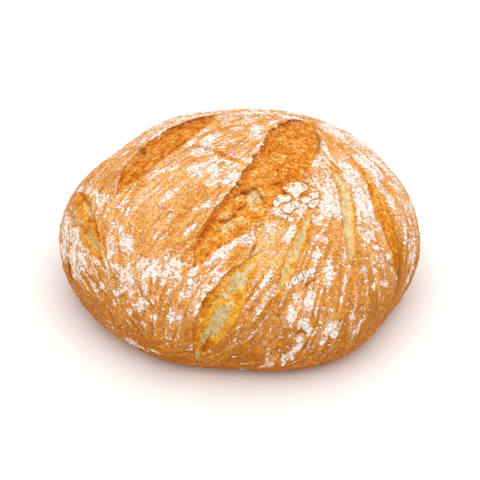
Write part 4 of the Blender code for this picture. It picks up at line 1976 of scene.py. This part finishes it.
@dataclass(frozen=True)
class BakedCrust:
    """The loaf's finish: golden crust under flour, torn golden bloom, smooth skin and pale crumb.

    crust, bloom, smooth, inside: the tints of each along a ramp, from less to more baked for the
    crust and the other way round for the rest.
    """

    crust: Ramp = (
        (0.0, (242, 200, 130)), (0.28, (231, 168, 82)), (0.5, (216, 142, 46)),
        (0.72, (195, 121, 18)), (1.0, (166, 94, 6)),
    )
    bloom: Ramp = (
        (0.0, (168, 78, 6)), (0.25, (204, 110, 18)), (0.5, (226, 140, 38)),
        (0.76, (240, 168, 78)), (1.0, (248, 208, 142)),
    )
    smooth: Ramp = (
        (0.0, (184, 104, 16)), (0.34, (213, 138, 38)), (0.64, (235, 170, 74)), (1.0, (246, 206, 136)),
    )
    inside: Ramp = ((0.0, (188, 164, 106)), (0.4, (220, 196, 142)), (1.0, (247, 229, 188)))
    border: Tint = (242, 178, 58)
    # dark brown for painted shade in cracks, pits and scale sides, and for scorching
    scorched: Tint = (96, 44, 10)
    thin_flour: Tint = (238, 204, 180)
    thick_flour: Tint = (240, 233, 223)
    crackle: Tint = (204, 132, 66)
    specks: Tint = (180, 100, 30)

    def make(self) -> bpy.types.Material:
        """Crust first, then dust, flour and its crackle, then what shows inside the slashes.

        Returns:
            The material.
        """
        r = Recipe("baked_crust")
        flour, opened, skin, crumb = r.coat("flour", "open", "skin", "crumb")
        yellow, bake, dark, marks = r.coat("yellow", "bake", "dark", "grain")
        broad, clump, grit = r.noise(9, 3, 0.6), r.noise(4.4, 2, 0.6), r.noise(2.2, 1.5, 0.7)
        fine, dots, curl = r.noise(1.2, 1.5, 0.6), r.noise(1.8, 1.5, 0.7), r.noise(5.0, 1.5, 0.5, 1.1)
        grain = marks - 0.5

        tone = 0.48 + 0.8 * bake + 1.1 * broad + 1.2 * clump + 1.1 * grit + fine - 0.35 * grain
        tint = r.tints(tone, self.crust)
        powder = flour + 1.2 * broad + 1.5 * clump + 1.4 * grit + grain
        tint = r.mix(powder.step(0.14, 0.46) * (0.66 - 0.9 * bake), tint, self.thin_flour)
        tint = r.mix((0.4 - 0.5 * bake) * fine.step(0.05, 0.14), tint, self.thin_flour)
        cover, solid = powder.step(0.38, 0.58), powder.step(0.65, 0.95)
        tint = r.mix(cover, tint, r.mix(powder.step(0.5, 0.8), self.thin_flour, self.thick_flour))
        tint = r.mix((0.8 - 0.45 * solid) * dots.step(-0.06, -0.17), tint, self.specks)
        split = self.split(r) * flour.step(0.2, 0.6) * broad.step(0.0, 0.12) * (1 - opened.most(skin))
        tint = r.mix(0.75 * split, tint, self.crackle)

        fibre = (abs(curl) * 9).step(0.8, 0.0)
        heat = 0.45 + 0.3 * fibre + 0.7 * clump + 0.9 * grit + 1.4 * broad - 0.8 * bake
        tint = r.mix(opened, tint, r.tints(heat, self.bloom))
        glow = 0.5 + 0.8 * clump + 0.7 * grit + 1.1 * broad - 0.6 * bake + 0.6 * grain
        tint = r.mix(skin, tint, r.tints(glow, self.smooth))
        tint = r.mix((yellow + 1.6 * clump) * yellow * 0.8, tint, self.border)
        soft = 0.5 + 1.2 * clump + 0.8 * grit - 0.6 * bake
        tint = r.mix(crumb, tint, r.tints(soft, self.inside))
        # painted shade: cracks, pits and the sides of scales darkened towards a burnt brown, with some
        # scorching
        tint = r.mix(0.9 * dark, tint, self.scorched)
        pale = 1 - 0.5 * crumb
        tint = r.mix((0.65 - 0.35 * solid) * pale * fine.step(-0.01, -0.19), tint, self.specks)
        tint = r.scaled(tint, 1.02 + pale * (1.4 * fine.most(0.0) + 0.6 * grit))

        rough = 0.7 + 0.25 * cover - 0.08 * opened
        height = 0.8 * clump + 0.7 * grit + 0.3 * fine + 0.3 * cover - 0.4 * split
        height = height + 0.6 * opened * fibre + 0.2 * dots
        return r.done(tint, rough, height, 0.8)

    def split(self, r: Recipe) -> Wire:
        """Fine cracks in thick flour: the borders of cells a few millimetres wide.

        Args:
            r: The recipe that the nodes are added to.

        Returns:
            1 in the cracks and 0 beside them.
        """
        shift = r.node("ShaderNodeTexNoise", {}, {"Vector": r.place, "Scale": 1 / (5 * MM)}, "Color")
        bent = r.scaled(shift, 2.5 * MM)
        place = r.node("ShaderNodeVectorMath", {"operation": "ADD"}, {0: r.place, 1: bent})
        sockets = {"Vector": place, "Scale": 1 / (4.2 * MM)}
        edge = r.node("ShaderNodeTexVoronoi", {"feature": "DISTANCE_TO_EDGE"}, sockets, "Distance")
        return edge.step(0.11, 0.03)


@dataclass(frozen=True)
class LooseFlour:
    """White wheat flour in lumps, a little creamy in places."""

    white: Tint = (255, 252, 247)
    cream: Tint = (250, 236, 214)

    def make(self) -> bpy.types.Material:
        """Two near whites mixed by noise.

        Returns:
            The material.
        """
        r = Recipe("loose_flour")
        tint = r.mix(r.noise(2.2, 2).step(-0.05, 0.2), self.white, self.cream)
        return r.done(tint, 0.95, 0.15 * r.noise(0.4, 1), 0.4)


@dataclass(frozen=True)
class PaleFloor:
    """A plain near-white floor."""

    bright: Tint = (254, 254, 254)
    dull: Tint = (252, 252, 252)

    def make(self) -> bpy.types.Material:
        """Two whites mixed by broad noise.

        Returns:
            The material.
        """
        r = Recipe("pale_floor")
        noise = r.noise(180, 1)
        return r.done(r.mix(0.5 + noise, self.bright, self.dull), 0.9, noise * 0.05, 0.1)


# ---- floor, light and camera


@dataclass
class Studio:
    """A pale floor, a large soft light overhead, a fill and a camera. Sizes are in metres, powers in
    watts, the elevation in degrees and the lens in mm."""

    floor_half: float = 4.0
    floor_points: int = 9
    sunk: float = 0.0002
    key: float = 12.0
    key_size: float = 1.5
    fill: float = 1.0
    sky: float = 0.76
    elevation: float = 39.0
    distance: float = 1.0
    lens: float = 99.15
    aim: tuple[float, float, float] = (-0.0016, 0.0, 0.0316)

    def floor(self) -> None:
        """A square grid on the ground, a little below the loaf."""
        side = np.linspace(-self.floor_half, self.floor_half, self.floor_points)
        x, y = np.meshgrid(side, side, indexing="ij")
        points = np.stack([x, y, np.full_like(x, -self.sunk)], axis=-1).reshape(-1, 3)
        mesh = bpy.data.meshes.new("floor")
        mesh.from_pydata(points, [], quads(np.arange(x.size).reshape(x.shape)).tolist())
        mesh.materials.append(PaleFloor().make())
        placed("floor", mesh)

    def light(self, name: str, place: Vector, size: float, power: float, tint: Tint) -> None:
        """A square light that looks at the loaf.

        Args:
            name: Its name.
            place: Where it hangs.
            size: The length of its sides.
            power: Its power in watts.
            tint: Its colour.
        """
        lamp = bpy.data.lights.new(name, "AREA")
        lamp.size, lamp.energy, lamp.color = size, power, linear(tint)[:3]
        thing = placed(name, lamp)
        thing.location = place
        thing.rotation_euler = (Vector((0, 0, 0.04)) - place).to_track_quat("-Z", "Y").to_euler()

    def camera(self) -> None:
        """A long lens that looks down at the loaf."""
        angle = math.radians(self.elevation)
        back = Vector((0, -math.cos(angle), math.sin(angle)))
        data = bpy.data.cameras.new("camera")
        data.lens = self.lens
        data.clip_start, data.clip_end = 0.01, 20
        camera = placed("camera", data)
        camera.location = Vector(self.aim) + back * self.distance
        camera.rotation_euler = (-back).to_track_quat("-Z", "Y").to_euler()
        bpy.context.scene.camera = camera

    def build(self) -> None:
        """Everything round the loaf."""
        scene = bpy.context.scene
        scene.view_settings.view_transform = "Standard"
        scene.world = bpy.data.worlds.new("studio")
        scene.world.use_nodes = True
        sky = scene.world.node_tree.nodes["Background"]
        sky.inputs["Color"].default_value = (1, 1, 1, 1)
        sky.inputs["Strength"].default_value = self.sky
        self.floor()
        self.light("key", Vector((0.12, 0.0, 1.4)), self.key_size, self.key, (255, 252, 247))
        self.light("fill", Vector((-1.1, -0.9, 0.8)), 0.9, self.fill, (250, 252, 255))
        self.camera()


# ---- the loaf


FLOUR_BALLS = ((-37, -106, 2.0), (33.5, -61.0, 1.7))


@dataclass
class Loaf:
    """The loaf's pieces: crust, what shows inside each slash, ears, scales and loose flour."""

    surface: Surface

    def build(self) -> None:
        """Makes each piece and says so."""
        finish = BakedCrust().make()
        crust = LoafCrust(self.surface).build().make("loaf_crust", finish)
        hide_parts(NODE)
        self.report(crust)
        for slash in SLASHES:
            self.report(Bloom(self.surface, slash).build().make(f"{slash.name}_inside", finish))
            for ear in slash.ears:
                self.report(EarRim(self.surface, slash, ear).build().make(f"{slash.name}_ear", finish))
        scales = CrackedScales(self.surface, SCALES + LADDER).build()
        self.report(scales.make("crust_scales", finish))
        lumps = FlourLumps(self.surface, balls=FLOUR_BALLS).build()
        self.report(lumps.make("flour_lumps", LooseFlour().make(), slot=None))

    def report(self, piece: bpy.types.Object) -> None:
        """Logs a piece's name and how many triangles it has."""
        count = sum(len(face.vertices) - 2 for face in piece.data.polygons)
        LOG.info("%s: %d triangles", piece.name, count)


def main() -> None:
    """Builds the loaf and the studio."""
    logging.basicConfig(level=logging.INFO, format="%(message)s")
    Studio().build()
    surface = Surface(Dome.from_frame(), Grain(STRETCHES), Dusting(FLOUR, VEILS))
    Loaf(surface).build()


if __name__ == "__main__":
    main()
